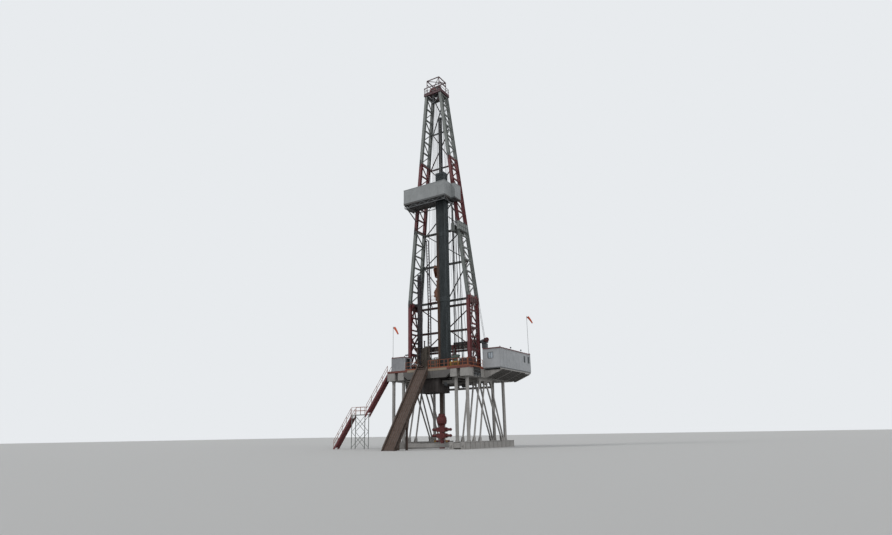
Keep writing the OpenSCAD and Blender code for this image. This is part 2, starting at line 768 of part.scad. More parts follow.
// Straight flight down towards -X from the point top, with treads hung between two stringers;
// below is how far the stringers' feet reach under the flight's lower level
module flight(top, drop, below) {
  n = max(2, round(drop / step_rise));
  rise = drop / n;
  going = rise / tan(flight_slope);
  run = going * n;
  stringer_h = 30;
  tread_half = stair_w / 2 - seat_gap;
  for (s = [-1, 1]) intersection() {
    translate([top[0], stair_y + s * (stair_w / 2 + 2) - 2, top[2] - stringer_h * 0.9])
      rotate([0, -90 - flight_slope, 0]) translate([-stringer_h * 0.5, 0, -20]) cube([stringer_h, 4, run * 2]);
    block([top[0] - run, stair_y - stair_w, top[2] - drop - below], [top[0], stair_y + stair_w, top[2] + 100]);
  }
  for (i = [1 : n - 1])
    block([top[0] - i * going - going * 0.1, stair_y - tread_half, top[2] - i * rise - 3],
          [top[0] - (i - 1) * going, stair_y + tread_half, top[2] - i * rise]);
}

module stair_flights() {
  top_drop = deck_top - landing_z;
  top_run = top_drop / tan(flight_slope);
  color("firebrick") {
    flight([-floor_half_w - seat_gap, 0, deck_top], top_drop, 40);
    flight([-floor_half_w - seat_gap - top_run - landing_l, 0, landing_z], landing_z, 0);
  }
}

module stair_landing() {
  x1 = -floor_half_w - 2 * seat_gap - (deck_top - landing_z) / tan(flight_slope);
  x0 = x1 - landing_l + 2 * seat_gap;
  y0 = stair_y - stair_w / 2 - 4;
  y1 = stair_y + stair_w / 2 + 4;
  color("whitesmoke") union() {
    block([x0, y0, landing_z - 10], [x1, y1, landing_z]);
    for (x = [x0 + 8, x1 - 8], y = [y0 + 6, y1 - 6]) bar([x, y, 0], [x, y, landing_z - 5], 8);
    for (y = [y0 + 6, y1 - 6]) {
      bar([x0 + 8, y, 20], [x1 - 8, y, landing_z / 2], 5);
      bar([x1 - 8, y, 20], [x0 + 8, y, landing_z / 2], 5);
      bar([x0 + 8, y, landing_z / 2], [x1 - 8, y, landing_z - 20], 5);
      bar([x1 - 8, y, landing_z / 2], [x0 + 8, y, landing_z - 20], 5);
    }
  }
}

/* Hand rails */

rail_h = 110;

// Rail panel from a to b on level ground, with posts about 150 apart
module rail_panel(a, b) {
  n = max(1, round(norm(b - a) / 150));
  union() {
    for (i = [0 : n]) {
      p = a + (b - a) * i / n;
      bar(p, p + [0, 0, rail_h], 5);
    }
    for (h = [rail_h * 0.5, rail_h - 2.5]) bar(a + [0, 0, h], b + [0, 0, h], 5);
    flat_bar(a + [0, 0, 8], b + [0, 0, 8], 15, 3);
  }
}

module floor_handrails() {
  x = floor_half_w - 6;
  yf = -floor_front + 6;
  yr = floor_rear - 6;
  z = deck_top;
  color("orangered") {
    rail_panel([ramp_x + ramp_w / 2 + 20, yf, z], [x, yf, z]);
    rail_panel([tool_x0 + tool_w + 20, yf, z], [ramp_x - ramp_w / 2 - 20, yf, z]);
    rail_panel([x, yf + 12, z], [x, dog_start - 10, z]);
    rail_panel([-x, stair_y + stair_w / 2 + 20, z], [-x, yr - 12, z]);
    rail_panel([-x, yr, z], [x, yr, z]);
  }
}

/* Doghouse */

dog_x0 = floor_half_w + seat_gap;
dog_floor_t = 12;
dog_z0 = deck_top - dog_floor_t;

module doghouse_walls() {
  x0 = dog_x0;
  x1 = dog_x0 + dog_w;
  y0 = dog_start;
  y1 = dog_start + dog_l;
  z0 = deck_top;
  z1 = deck_top + dog_h;
  t = house_t;
  color("gainsboro") difference() {
    block([x0, y0, z0], [x1, y1, z1]);
    block([x0 + t, y0 + t, z0 - 1], [x1 - t, y1 - t, z1 + 1]);
    // door to the drill floor
    block([x0 - 1, y0 + 560, z0 - 1], [x0 + t + 1, y0 + 650, z0 + 210]);
    // windows to the drill floor
    for (y = [y0 + 90, y0 + 300]) block([x0 - 1, y, z0 + 100], [x0 + t + 1, y + 150, z0 + 190]);
    // front window
    block([x0 + 70, y0 - 1, z0 + 130], [x0 + 150, y0 + t + 1, z0 + 205]);
    // windows in the outer wall
    for (y = [y0 + 760, y0 + 900]) block([x1 - t - 1, y, z0 + 130], [x1 + 1, y + 36, z0 + 215]);
  }
}

module doghouse_floor() {
  color("dimgray") block([dog_x0, dog_start, dog_z0], [dog_x0 + dog_w, dog_start + dog_l, deck_top]);
}

module doghouse_roof() {
  z = deck_top + dog_h;
  color("maroon") block([dog_x0, dog_start - 6, z], [dog_x0 + dog_w + 6, dog_start + dog_l + 6, z + 12]);
}

// Tapered cantilever frames under the doghouse, fixed to the outer floor girder
module doghouse_brackets() {
  rim_w = 12;
  rim_h = 16;
  top = dog_z0 - rim_h - seat_gap;
  color("gainsboro") {
    for (i = [0 : 3]) {
      y = dog_start + 30 + i * (dog_l - 60) / 3;
      translate([0, y + 5, 0]) rotate([90, 0, 0]) linear_extrude(10)
        polygon([[dog_x0, girder_bottom], [dog_x0 + 30, girder_bottom], [dog_x0 + dog_w - 10, top - 10],
                 [dog_x0 + dog_w - 10, top], [dog_x0, top]]);
    }
    for (x = [dog_x0, dog_x0 + dog_w - rim_w - 2])
      block([x, dog_start, dog_z0 - rim_h], [x + rim_w, dog_start + dog_l, dog_z0]);
  }
}

/* Tool house on the left front corner */

tool_w = 225;
tool_l = 160;
tool_h = 185;
tool_x0 = -floor_half_w + 70;
tool_y0 = -floor_front + 4;

module tool_house_walls() {
  x0 = tool_x0;
  x1 = x0 + tool_w;
  y0 = tool_y0;
  y1 = y0 + tool_l;
  t = house_t;
  color("gainsboro") difference() {
    block([x0, y0, deck_top], [x1, y1, deck_top + tool_h]);
    block([x0 + t, y0 + t, deck_top - 1], [x1 - t, y1 - t, deck_top + tool_h + 1]);
    block([x1 - t - 1, y0 + 40, deck_top - 1], [x1 + 1, y0 + 120, deck_top + 172]);
  }
}

module tool_house_roof() {
  x0 = tool_x0;
  y0 = tool_y0;
  color("maroon") block([x0 - 3, y0 - 5, deck_top + tool_h], [x0 + tool_w + 5, y0 + tool_l + 5, deck_top + tool_h + 10]);
}

/* Machinery on the floor */

module drawworks() {
  color("seagreen") union() {
    block([-200, 500, deck_top], [200, 780, deck_top + 22]);
    for (s = [-1, 1]) block([s > 0 ? 96 : -190, 520, deck_top + 20], [s > 0 ? 190 : -96, 760, deck_top + 190]);
    rod([-100, 640, deck_top + 110], [100, 640, deck_top + 110], 110, 40);
    for (s = [-1, 1]) rod([s * 96, 640, deck_top + 110], [s * 84, 640, deck_top + 110], 160, 40);
  }
}

ladder_out = 24;
ladder_half_w = 22;
rung_gap = 30;
platform_z = deck_top + 2020;
platform_wall_h = 120;

// Middle of the ladder at height z: it follows the inside of the mast's right side
function ladder_at(z) = [chord_x(z) - girt_w / 2 - ladder_out, (chord_front(z) + chord_rear(z)) / 2, z];

module mast_ladder() {
  top = platform_z + 110;
  low = deck_top;
  half = [0, ladder_half_w, 0];
  color("firebrick") union() {
    for (s = [-1, 1]) {
      bar(ladder_at(low) + s * half, ladder_at(kink_z) + s * half, 6);
      bar(ladder_at(kink_z - 3) + s * half, ladder_at(top) + s * half, 6);
    }
    for (i = [1 : floor((top - low) / rung_gap) - 1])
      bar(ladder_at(low + i * rung_gap) - half, ladder_at(low + i * rung_gap) + half, 3);
    // stand-off brackets to the side girts
    for (s = [0, 1], i = [0 : 2 : side_panels[s]], side = [-1, 1]) {
      z = side_level(s, i);
      at = ladder_at(z) + side * half;
      if (z < platform_z - 30)
        block([at[0], at[1] - 3, z - 4], [chord_x(z) - girt_w / 2 - 2 * seat_gap, at[1] + 3, z + 4]);
    }
  }
}

// Walled platform on both sides of the mast's right side, with a way through for the ladder
module ladder_platform() {
  z = platform_z;
  t = 6;
  g = seat_gap;
  out_x = chord_x(z - t) + chord_w / 2 + 2 * g;
  out_w = 24;
  out_y = [-150, 95];
  in_x = chord_x(z) - chord_w / 2 - 2 * g;
  in_w = 70;
  in_top = chord_x(z + platform_wall_h) - chord_w / 2 - 3;
  front = -120;
  in_rear = 150;
  hatch = [ladder_at(z)[1] - 32, ladder_at(z)[1] + 32];
  top = z + platform_wall_h;
  color("lightgray") {
    block([out_x, out_y[0], z - t], [out_x + out_w, out_y[1], z]);
    block([out_x + out_w + g, out_y[0], z - t], [out_x + out_w + g + t, out_y[1], top]);
    for (y = [out_y[0] - g - t, out_y[1] + g]) block([out_x, y, z - t], [out_x + out_w + g + t, y + t, top]);
    for (y = [[front, hatch[0]], [hatch[1], in_rear]]) block([in_x - in_w, y[0], z - t], [in_x, y[1], z]);
    block([in_x - in_w - g - t, front, z - t], [in_x - in_w - g, in_rear, top]);
    for (y = [front - g - t, in_rear + g]) block([in_x - in_w - g - t, y, z - t], [in_top, y + t, top]);
  }
}

trunk_top = deck_top + 1500;
trunk_w = 46;
trunk_y = [62, 104];

// Upright trunk of service lines inside the mast's left side, held off the side girts
module service_trunk() {
  x = chord_x(trunk_top) - girt_w / 2 - 2 * seat_gap;
  color("darkslategray") union() {
    block([-x, trunk_y[0], deck_top], [-x + trunk_w, trunk_y[1], trunk_top]);
    for (s = [0, 1], i = [0 : side_panels[s]]) {
      z = side_level(s, i);
      if (z < trunk_top)
        block([-chord_x(z) + girt_w / 2 + 2 * seat_gap, trunk_y[0] + 10, z - 6], [-x + 4, trunk_y[1] - 10, z + 6]);
    }
  }
}

standpipe_x = [-330, -295];
standpipe_d = 13;
standpipe_top = deck_top + 2050;

// Pair of pipes up the front of the rear girts, each ending in a gooseneck
module standpipes() {
  function at(x, z) = [x, chord_rear(z) - girt_w / 2 - standpipe_d / 2 - 2 * seat_gap, z];
  color("darkred") for (x = standpipe_x) union() {
    rod(at(x, deck_top), at(x, kink_z), standpipe_d);
    rod(at(x, kink_z - 3), at(x, standpipe_top), standpipe_d);
    rod(at(x, standpipe_top - 5), at(x, standpipe_top + 20) - [0, 50, 0], standpipe_d);
    for (z = [kink_z, standpipe_top])
      translate(at(x, z) - [0, 0, 10]) cylinder(h = 20, d = standpipe_d + 5);
  }
}

module power_unit() {
  color("gold") union() {
    block([330, -300, deck_top], [480, -200, deck_top + 12]);
    block([336, -294, deck_top + 10], [474, -206, deck_top + 82]);
  }
}

module hoist_post() {
  x = floor_half_w - 48;
  y = 240;
  h = 380;
  color("gray") union() {
    bar([x, y, deck_top], [x, y, deck_top + h], 14);
    block([x - 24, y - 22, deck_top + h - 8], [x + 24, y + 22, deck_top + h + 2]);
    rod([x - 18, y, deck_top + h + 29], [x + 18, y, deck_top + h + 29], 60, 32);
  }
}

pole_d = 5;
pole_h = [455, 580];
pole_bases = [[tool_x0 + 12, tool_y0 + 12, deck_top + tool_h + 10],
              [dog_x0 + dog_w - 10, dog_start + dog_l - 12, deck_top + dog_h + 12]];

module windsock_poles() {
  color("whitesmoke") for (i = [0, 1]) translate(pole_bases[i]) union() {
    cylinder(h = pole_h[i], d = pole_d);
    cylinder(h = 3, d = 16);
    translate([0, 0, pole_h[i] - 26]) cylinder(h = 4, d = pole_d + 4);
  }
}

// Limp sock that droops from a swivelling ring on the pole's collar
module windsock(i) {
  arm = 24;
  droop = 60;
  color("orangered") translate(pole_bases[i] + [0, 0, pole_h[i] - 22 + seat_gap]) difference() {
    union() {
      cylinder(h = 12, d = pole_d + 5);
      block([0, -1.5, 4], [arm, 1.5, 8]);
      translate([arm - 4, 0, 6]) rotate([0, 90 + droop, 0]) cylinder(h = 120, r1 = 12, r2 = 6);
    }
    translate([0, 0, -1]) cylinder(h = 14, r = pole_d / 2 + 0.05);
  }
}

base_beams();
base_spreaders();
columns();
side_braces();
floor_girders();
floor_cross_beams();
setback_beams();
floor_deck();
rotary_table();
blowout_preventer();
bell_nipple();
mast_feet();
mast_side(0, -1);  // mast_left_1
mast_side(1, -1);  // mast_left_2
mast_side(2, -1);  // mast_left_3
mast_side(3, -1);  // mast_left_4
mast_side(0, 1);  // mast_right_1
mast_side(1, 1);  // mast_right_2
mast_side(2, 1);  // mast_right_3
mast_side(3, 1);  // mast_right_4
mast_rear(0);  // mast_rear_1
mast_rear(1);  // mast_rear_2
mast_rear(2);  // mast_rear_3
mast_rear(3);  // mast_rear_4
crown_frame();
crown_sheaves();
crown_rails();
guide_rail();
racking_board();
wind_walls();
drill_pipe_stands();
travelling_block();
top_drive();
drilling_lines();
pipe_ramp();
stair_flights();
stair_landing();
floor_handrails();
doghouse_walls();
doghouse_floor();
doghouse_roof();
doghouse_brackets();
tool_house_walls();
tool_house_roof();
drawworks();
mast_ladder();
ladder_platform();
service_trunk();
standpipes();
power_unit();
hoist_post();
windsock_poles();
windsock(0);  // windsock_left
windsock(1);  // windsock_right
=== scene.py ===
"""Finishes, small parts, ropes, cloth, light and camera of the 1:10 land drilling rig."""
import math

import bmesh
import bpy
from mathutils import Matrix, Vector


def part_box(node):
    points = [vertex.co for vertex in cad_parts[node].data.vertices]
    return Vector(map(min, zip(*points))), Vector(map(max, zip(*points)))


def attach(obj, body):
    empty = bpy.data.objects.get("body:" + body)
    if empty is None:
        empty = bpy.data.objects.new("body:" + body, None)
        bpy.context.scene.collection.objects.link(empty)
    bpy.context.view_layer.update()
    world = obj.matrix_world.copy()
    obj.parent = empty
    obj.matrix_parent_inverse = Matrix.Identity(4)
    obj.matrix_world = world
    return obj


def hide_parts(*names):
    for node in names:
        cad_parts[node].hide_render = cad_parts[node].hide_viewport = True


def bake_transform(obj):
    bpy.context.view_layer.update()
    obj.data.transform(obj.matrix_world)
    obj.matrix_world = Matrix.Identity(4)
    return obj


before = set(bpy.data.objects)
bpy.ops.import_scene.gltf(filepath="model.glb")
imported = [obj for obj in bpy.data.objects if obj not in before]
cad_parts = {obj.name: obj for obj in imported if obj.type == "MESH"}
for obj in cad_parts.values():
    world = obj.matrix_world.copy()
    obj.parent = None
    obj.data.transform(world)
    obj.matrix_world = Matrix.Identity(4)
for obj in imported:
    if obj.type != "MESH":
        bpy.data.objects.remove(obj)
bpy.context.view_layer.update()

# Levels and lines of the rig, in metres of the model
deck_low, deck_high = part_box("floor_deck")
DECK_UNDER, DECK = deck_low.z, deck_high.z
FLOOR_X, FLOOR_FRONT, FLOOR_REAR = deck_high.x, deck_low.y, deck_high.y
BANDS = [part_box("mast_left_1")[0].z] + [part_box(f"mast_left_{i}")[1].z for i in (1, 2, 3, 4)]
MAST_BASE, KINK, MAST_TOP = BANDS[0], BANDS[1], BANDS[4]
SIDE_PANELS = (5, 6, 6, 6)
CHORD = 0.044
GIRT = 0.020
FOOT_X, TOP_X = 0.503, 0.130
FOOT_FRONT, TOP_FRONT = -0.045, -0.095
FOOT_REAR, TOP_REAR = 0.210, 0.095
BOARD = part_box("wind_walls")[0].z
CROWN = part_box("crown_rails")[0].z
SHEAVE_Z = CROWN + 0.058
SIDES = (-1, 1)
# Each leg of the mast: its side, and whether it stands at the rear
LEGS = [(side, rear) for side in SIDES for rear in (False, True)]


def mix(a, b, t):
    return a + (b - a) * t


def spaced(a, b, count):
    """Values from a to b at equal steps."""
    return [mix(a, b, i / (count - 1)) for i in range(count)]


def level_way(angle):
    """Level unit vector at an angle from +X."""
    return Vector((math.cos(angle), math.sin(angle), 0))


def taper(z):
    return max(0.0, (z - KINK) / (MAST_TOP - KINK))


def chord_x(z):
    return mix(FOOT_X, TOP_X, taper(z))


def chord_y(z, rear=True):
    return mix(FOOT_REAR, TOP_REAR, taper(z)) if rear else mix(FOOT_FRONT, TOP_FRONT, taper(z))


def side_level(band, i):
    return mix(BANDS[band] + 0.012, BANDS[band + 1] - 0.012, i / SIDE_PANELS[band])


def srgb(*rgb):
    """A colour given as 0 to 255, as Blender's linear values."""
    return tuple((c / 255 / 12.92) if c <= 10 else ((c / 255 + 0.055) / 1.055) ** 2.4 for c in rgb) + (1.0,)


# Finishes

class Look:
    """The nodes of a material or a world, with the few kinds that the looks are mixed from."""

    def __init__(self, owner):
        owner.use_nodes = True
        self.owner = owner
        self.nodes, self.links = owner.node_tree.nodes, owner.node_tree.links
        self.bsdf = self.nodes.get("Principled BSDF")

    def feed(self, socket, value):
        """Links an output to the socket, or sets a plain value."""
        if isinstance(value, bpy.types.NodeSocket):
            self.links.new(value, socket)
        else:
            socket.default_value = value

    def add(self, kind, **inputs):
        """New node; an input's name has _ for each blank."""
        node = self.nodes.new(f"ShaderNode{kind}")
        for name, value in inputs.items():
            self.feed(node.inputs[name.replace("_", " ")], value)
        return node

    def place(self):
        return self.add("TexCoord").outputs["Object"]

    def noise(self, scale, detail=4.0, stretch=(1, 1, 1), rough=0.55):
        mapping = self.add("Mapping", Vector=self.place(), Scale=stretch)
        place = mapping.outputs["Vector"]
        texture = self.add("TexNoise", Vector=place, Scale=scale, Detail=detail, Roughness=rough)
        return texture.outputs["Fac"]

    def wave(self, direction, scale, distortion=0.0):
        node = self.add("TexWave", Vector=self.place(), Scale=scale, Distortion=distortion)
        node.wave_type = "BANDS"
        node.bands_direction = direction
        return node.outputs["Fac"]

    def spread(self, value, low, high, start=0.0, end=1.0):
        """value spread from low..high to start..end."""
        node = self.add("MapRange", Value=value, From_Min=low, From_Max=high, To_Min=start, To_Max=end)
        return node.outputs["Result"]

    def blend(self, fac, a, b):
        node = self.add("Mix")
        node.data_type = "RGBA"
        for index, value in ((0, fac), (6, a), (7, b)):
            self.feed(node.inputs[index], value)
        return node.outputs[2]

    def combine(self, operation, a, b):
        node = self.add("Math")
        node.operation = operation
        self.feed(node.inputs[0], a)
        self.feed(node.inputs[1], b)
        return node.outputs[0]

    def bump(self, height, strength, distance):
        node = self.add("Bump", Height=height, Strength=strength, Distance=distance)
        normal = self.bsdf.inputs["Normal"]
        if normal.links:
            self.links.new(normal.links[0].from_socket, node.inputs["Normal"])
        self.links.new(node.outputs["Normal"], normal)

    def surface(self, colour, rough, metallic=0.0):
        for name, value in (("Base Color", colour), ("Roughness", rough), ("Metallic", metallic)):
            self.feed(self.bsdf.inputs[name], value)


def new_look(name):
    return Look(bpy.data.materials.new(name))


def shade(colour, gain, more=0.0):
    """The colour made darker or lighter."""
    return tuple(min(1.0, c * gain + more) for c in colour[:3]) + (1.0,)


def weathered_paint(name, colour, rough=0.55, dirt=0.45, rust=0.35, streaks=True):
    """Brushed or sprayed steel paint with grime, runs down the steel and rust breaking through."""
    look = new_look(name)
    dark = shade(colour, 0.55)
    tone = look.blend(look.spread(look.noise(5.0), 0.35, 0.7), colour, shade(colour, 1.18, 0.012))
    tone = look.blend(look.spread(look.noise(22.0, 6.0), 0.48, 0.78, 0.0, dirt), tone, dark)
    if streaks:
        runs = look.noise(30.0, 3.0, (1.6, 1.6, 0.12))
        tone = look.blend(look.spread(runs, 0.52, 0.75, 0.0, dirt), tone, dark)
    spots = look.noise(60.0, 8.0, (1, 1, 0.6), 0.7)
    tone = look.blend(look.spread(spots, 0.66, 0.74, 0.0, rust), tone, srgb(96, 54, 34))
    look.surface(tone, look.spread(look.noise(40.0), 0.3, 0.7, rough - 0.1, rough + 0.18))
    look.bump(look.noise(260.0, 3.0), 0.25, 0.0006)
    return look.owner


def plate_steel(name, colour, pitch=0.006, depth=0.0007, rough=0.6):
    """Chequer plate: raised lozenges on painted, worn steel."""
    look = new_look(name)
    turn = (0, 0, math.radians(45))
    mapping = look.add("Mapping", Vector=look.place(), Rotation=turn, Scale=(1 / pitch,) * 3)
    cells = look.add("TexVoronoi", Vector=mapping.outputs["Vector"], Scale=1.0, Randomness=0.0)
    worn = look.spread(look.noise(9.0, 6.0), 0.45, 0.7, 0.0, 0.8)
    oily = look.spread(look.noise(50.0), 0.5, 0.8, 0.0, 0.5)
    look.surface(look.blend(oily, look.blend(worn, colour, srgb(74, 62, 54)), srgb(44, 38, 34)), rough)
    look.bump(look.spread(cells.outputs["Distance"], 0.34, 0.22), 0.7, depth)
    return look.owner


def bare_steel(name, colour, rough=0.38, grain=(1, 1, 1), metallic=0.85):
    """Bare or greasy steel with drawn or machined grain."""
    look = new_look(name)
    tone = look.blend(look.spread(look.noise(26.0, 6.0, grain), 0.35, 0.75), colour, shade(colour, 0.4))
    matt = look.spread(look.noise(70.0, 4.0, grain), 0.3, 0.7, rough - 0.12, rough + 0.2)
    look.surface(tone, matt, metallic)
    look.bump(look.noise(240.0, 2.0, grain), 0.2, 0.0004)
    return look.owner


def tone_low(material, colour, x_edge, z_edge, fade=(0.8, 0.4), most=0.9):
    """Another tone over the part that stands left of x_edge and below z_edge, fading out at both."""
    look = Look(material)
    base = look.bsdf.inputs["Base Color"]
    axes = look.add("SeparateXYZ", Vector=look.place()).outputs
    left = look.spread(axes["X"], x_edge - 0.01, x_edge + 0.01, 1.0, 0.0)
    below = look.spread(axes["Z"], z_edge - fade[0], z_edge + fade[1], most, 0.0)
    look.feed(base, look.blend(look.combine("MULTIPLY", left, below), base.links[0].from_socket, colour))


def wire_rope(name):
    """Greased steel rope with its strands."""
    look = new_look(name)
    strands = look.wave("DIAGONAL", 70.0, 0.4)
    look.surface(look.blend(strands, srgb(38, 38, 38), srgb(98, 98, 96)), 0.5, 0.6)
    look.bump(strands, 0.6, 0.0006)
    return look.owner


def sock_cloth(name):
    """Faded orange ripstop with fine crossed threads."""
    look = new_look(name)
    faded = look.spread(look.noise(40.0), 0.35, 0.7)
    look.surface(look.blend(faded, srgb(206, 74, 40), srgb(224, 118, 78)), 0.85)
    look.bsdf.inputs["Sheen Weight"].default_value = 0.3
    for direction in ("X", "Z"):
        look.bump(look.wave(direction, 260.0), 0.3, 0.0003)
    return look.owner


def glass_pane(name, low=(0.016, 0.023, 0.027, 1.0), high=(0.042, 0.058, 0.065, 1.0)):
    look = new_look(name)
    look.surface(look.blend(look.spread(look.noise(14.0), 0.35, 0.7), low, high), 0.12)
    look.bump(look.noise(30.0), 0.05, 0.0005)
    return look.owner


def rubber(name):
    look = new_look(name)
    look.surface(look.blend(look.spread(look.noise(60.0), 0.4, 0.7), srgb(26, 26, 27), srgb(58, 56, 53)), 0.7)
    look.bump(look.noise(300.0), 0.3, 0.0004)
    return look.owner


MAROON = weathered_paint("maroon mast paint", srgb(108, 52, 54), dirt=0.5, rust=0.25)
WHITE = weathered_paint("white mast paint", srgb(126, 130, 126), dirt=0.4, rust=0.45)
OFF_WHITE = weathered_paint("off-white wind wall paint", srgb(146, 149, 149), dirt=0.25, rust=0.15)
PALE = weathered_paint("pale substructure paint", srgb(158, 155, 151), dirt=0.45, rust=0.35)
HOUSE = weathered_paint("doghouse paint", srgb(168, 170, 172), dirt=0.3, rust=0.12)
GREY = weathered_paint("grey paint", srgb(96, 99, 101), dirt=0.5, rust=0.3)
PLATFORM = weathered_paint("platform grey paint", srgb(132, 136, 132), dirt=0.4, rust=0.25)
# Dark paint; on the flanges of the mast's rear beams it stands for the shade that falls there
DARK_PAINT_AND_SHADE = weathered_paint("dark beam paint and painted shade", srgb(58, 52, 50), dirt=0.5, rust=0.4)
MID_GREY = weathered_paint("shaded grey beam paint", srgb(94, 91, 88), dirt=0.5, rust=0.35)
CROWN_RED = weathered_paint("dark crown paint", srgb(84, 52, 56), dirt=0.5, rust=0.3)
# The house paint darkened as painted shade, for the tool house walls
HOUSE_IN_PAINTED_SHADE = weathered_paint("house paint in painted shade", srgb(146, 147, 150), dirt=0.4, rust=0.2)
OLIVE = weathered_paint("olive brown machine paint", srgb(72, 64, 54), dirt=0.55, rust=0.4)
# Maroon darkened as painted shade, for the bracing at the mast's rear and lower sides; the lockers and the
# lagging take the same dark red
DARK_RED_AND_SHADE = weathered_paint("dark red paint and maroon in painted shade", srgb(72, 44, 42), dirt=0.55, rust=0.4)
# White mast paint darkened as painted shade, for the rear bracing and the cable tray in the white band
WHITE_IN_PAINTED_SHADE = weathered_paint("white mast paint in painted shade", srgb(92, 96, 94), dirt=0.5, rust=0.4)
PIPEWORK = weathered_paint("dark pipework paint", srgb(84, 76, 78), dirt=0.5, rust=0.4)
SLATE = weathered_paint("slate trunk paint", srgb(84, 86, 92), dirt=0.5, rust=0.15)
RED = weathered_paint("red deck paint", srgb(106, 56, 46), dirt=0.45, rust=0.3)
ROOF = weathered_paint("dark red roof paint", srgb(92, 44, 44), dirt=0.4, rust=0.25)
CREAM = weathered_paint("cream edge paint", srgb(144, 132, 114), dirt=0.35, rust=0.3)
ORANGE = weathered_paint("orange rail paint", srgb(142, 80, 52), dirt=0.35, rust=0.3, streaks=False)
YELLOW = weathered_paint("yellow machine paint", srgb(176, 140, 56), dirt=0.45, rust=0.25)
BROWN = weathered_paint("worn brown ramp paint", srgb(74, 60, 52), rough=0.65, dirt=0.55, rust=0.5)
TERRACOTTA = weathered_paint("orange-brown drive paint", srgb(124, 78, 54), dirt=0.5, rust=0.35)
GREEN = weathered_paint("dark green machine paint", srgb(62, 76, 68), dirt=0.45, rust=0.2)
STACK = weathered_paint("dark red stack paint", srgb(104, 44, 44), dirt=0.55, rust=0.35)
STEEL = bare_steel("machined steel", srgb(150, 150, 148))
PIPE = bare_steel("dark drill pipe steel", srgb(66, 72, 74), rough=0.45, grain=(1, 1, 0.15), metallic=0.55)
tone_low(PIPE, srgb(88, 64, 50), 0.168, 2.95)
tone_low(CROWN_RED, srgb(84, 88, 90), 9.0, MAST_TOP - 0.004, (0.001, 0.002), 1.0)
GREASED = bare_steel("greased guide rail", srgb(84, 84, 84), rough=0.35, grain=(1, 1, 0.1))
ROPE = wire_rope("greased wire rope")
DECK_PLATE = plate_steel("chequered deck plate", srgb(120, 58, 50))
BOARD_PLATE = plate_steel("chequered board plate", srgb(92, 94, 95))
CLOTH = sock_cloth("faded wind sock cloth")
GLASS = glass_pane("window glass")
# Pale glass whose colour is a painted reflection of the sky
SKY_REFLECTION_GLASS = glass_pane("window glass with a painted sky reflection", srgb(150, 160, 168), srgb(196, 204, 210))
RUBBER = rubber("black hose rubber")

# The finish of each node of the CAD
FINISH = {
    MAROON: ("mast_left_1", "mast_left_3", "mast_right_1", "mast_right_3", "mast_ladder",
             "mast_feet", "stair_flights"),
    CROWN_RED: ("crown_frame", "crown_rails"),
    # The rear bracing in the red bands takes maroon darkened as painted shade
    DARK_RED_AND_SHADE: ("mast_rear_1", "mast_rear_3"),
    # The rear bracing in the white bands takes white darkened as painted shade
    WHITE_IN_PAINTED_SHADE: ("mast_rear_2", "mast_rear_4"),
    PIPEWORK: ("standpipes",),
    WHITE: ("mast_left_2", "mast_left_4", "mast_right_2", "mast_right_4", "stair_landing", "windsock_poles"),
    OFF_WHITE: ("wind_walls",),
    PALE: ("base_beams", "base_spreaders", "columns", "side_braces", "floor_girders", "doghouse_brackets"),
    MID_GREY: ("floor_cross_beams",),
    HOUSE: ("doghouse_walls",),
    # The tool house walls take the house paint darkened as painted shade
    HOUSE_IN_PAINTED_SHADE: ("tool_house_walls",),
    GREY: ("hoist_post", "doghouse_floor"),
    PLATFORM: ("ladder_platform",),
    DARK_PAINT_AND_SHADE: ("setback_beams",),
    SLATE: ("service_trunk",),
    DECK_PLATE: ("floor_deck",),
    BOARD_PLATE: ("racking_board",),
    ROOF: ("doghouse_roof", "tool_house_roof"),
    ORANGE: ("floor_handrails",),
    YELLOW: ("power_unit",),
    TERRACOTTA: ("travelling_block", "top_drive"),
    BROWN: ("pipe_ramp", "bell_nipple"),
    GREEN: ("drawworks",),
    STACK: ("blowout_preventer",),
    STEEL: ("rotary_table", "crown_sheaves"),
    GREASED: ("guide_rail",),
    PIPE: ("drill_pipe_stands",),
    ROPE: ("drilling_lines",),
    CLOTH: ("windsock_left", "windsock_right"),
}
for finish, names in FINISH.items():
    for name in names:
        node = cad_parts[name]
        if not node.material_slots:
            node.data.materials.append(finish)
        for place in node.material_slots:
            place.material = finish


# Shapes

def turn_to(direction):
    """Rotation that takes +Z to the direction, with X kept level where it can be."""
    return direction.to_track_quat("Z", "Y").to_matrix().to_4x4()


def new_meshes(count):
    return [bmesh.new() for _ in range(count)]


def near(middle, half):
    """The two ends of a span, given by its middle and half its length."""
    return middle - half, middle + half


def lift(z):
    return Vector((0, 0, z))


def add_box(bm, xs, ys, zs):
    """Box between the two ends of a span along each axis, in either order."""
    low, high = (Vector([pick(span) for span in (xs, ys, zs)]) for pick in (min, max))
    size = high - low
    matrix = Matrix.Translation((low + high) / 2) @ Matrix.Diagonal((*size, 1))
    bmesh.ops.create_cube(bm, size=1, matrix=matrix)


def add_bar(bm, a, b, width, depth=None):
    """Rectangular bar from a to b: width lies level, depth lies upright or across it."""
    a, b = Vector(a), Vector(b)
    along = b - a
    level = Vector((along.y, -along.x, 0))
    if level.length < 1e-6:
        level = Vector((1, 0, 0))
    level.normalize()
    across = along.normalized().cross(level)
    turn = Matrix((level, across, along.normalized())).transposed().to_4x4()
    size = Matrix.Diagonal((width, depth or width, along.length, 1))
    bmesh.ops.create_cube(bm, size=1, matrix=Matrix.Translation((a + b) / 2) @ turn @ size)


def add_rod(bm, a, b, radius, sides=10, radius_end=None):
    a, b = Vector(a), Vector(b)
    bmesh.ops.create_cone(bm, cap_ends=True, segments=sides, radius1=radius,
                          radius2=radius if radius_end is None else radius_end, depth=(b - a).length,
                          matrix=Matrix.Translation((a + b) / 2) @ turn_to(b - a))


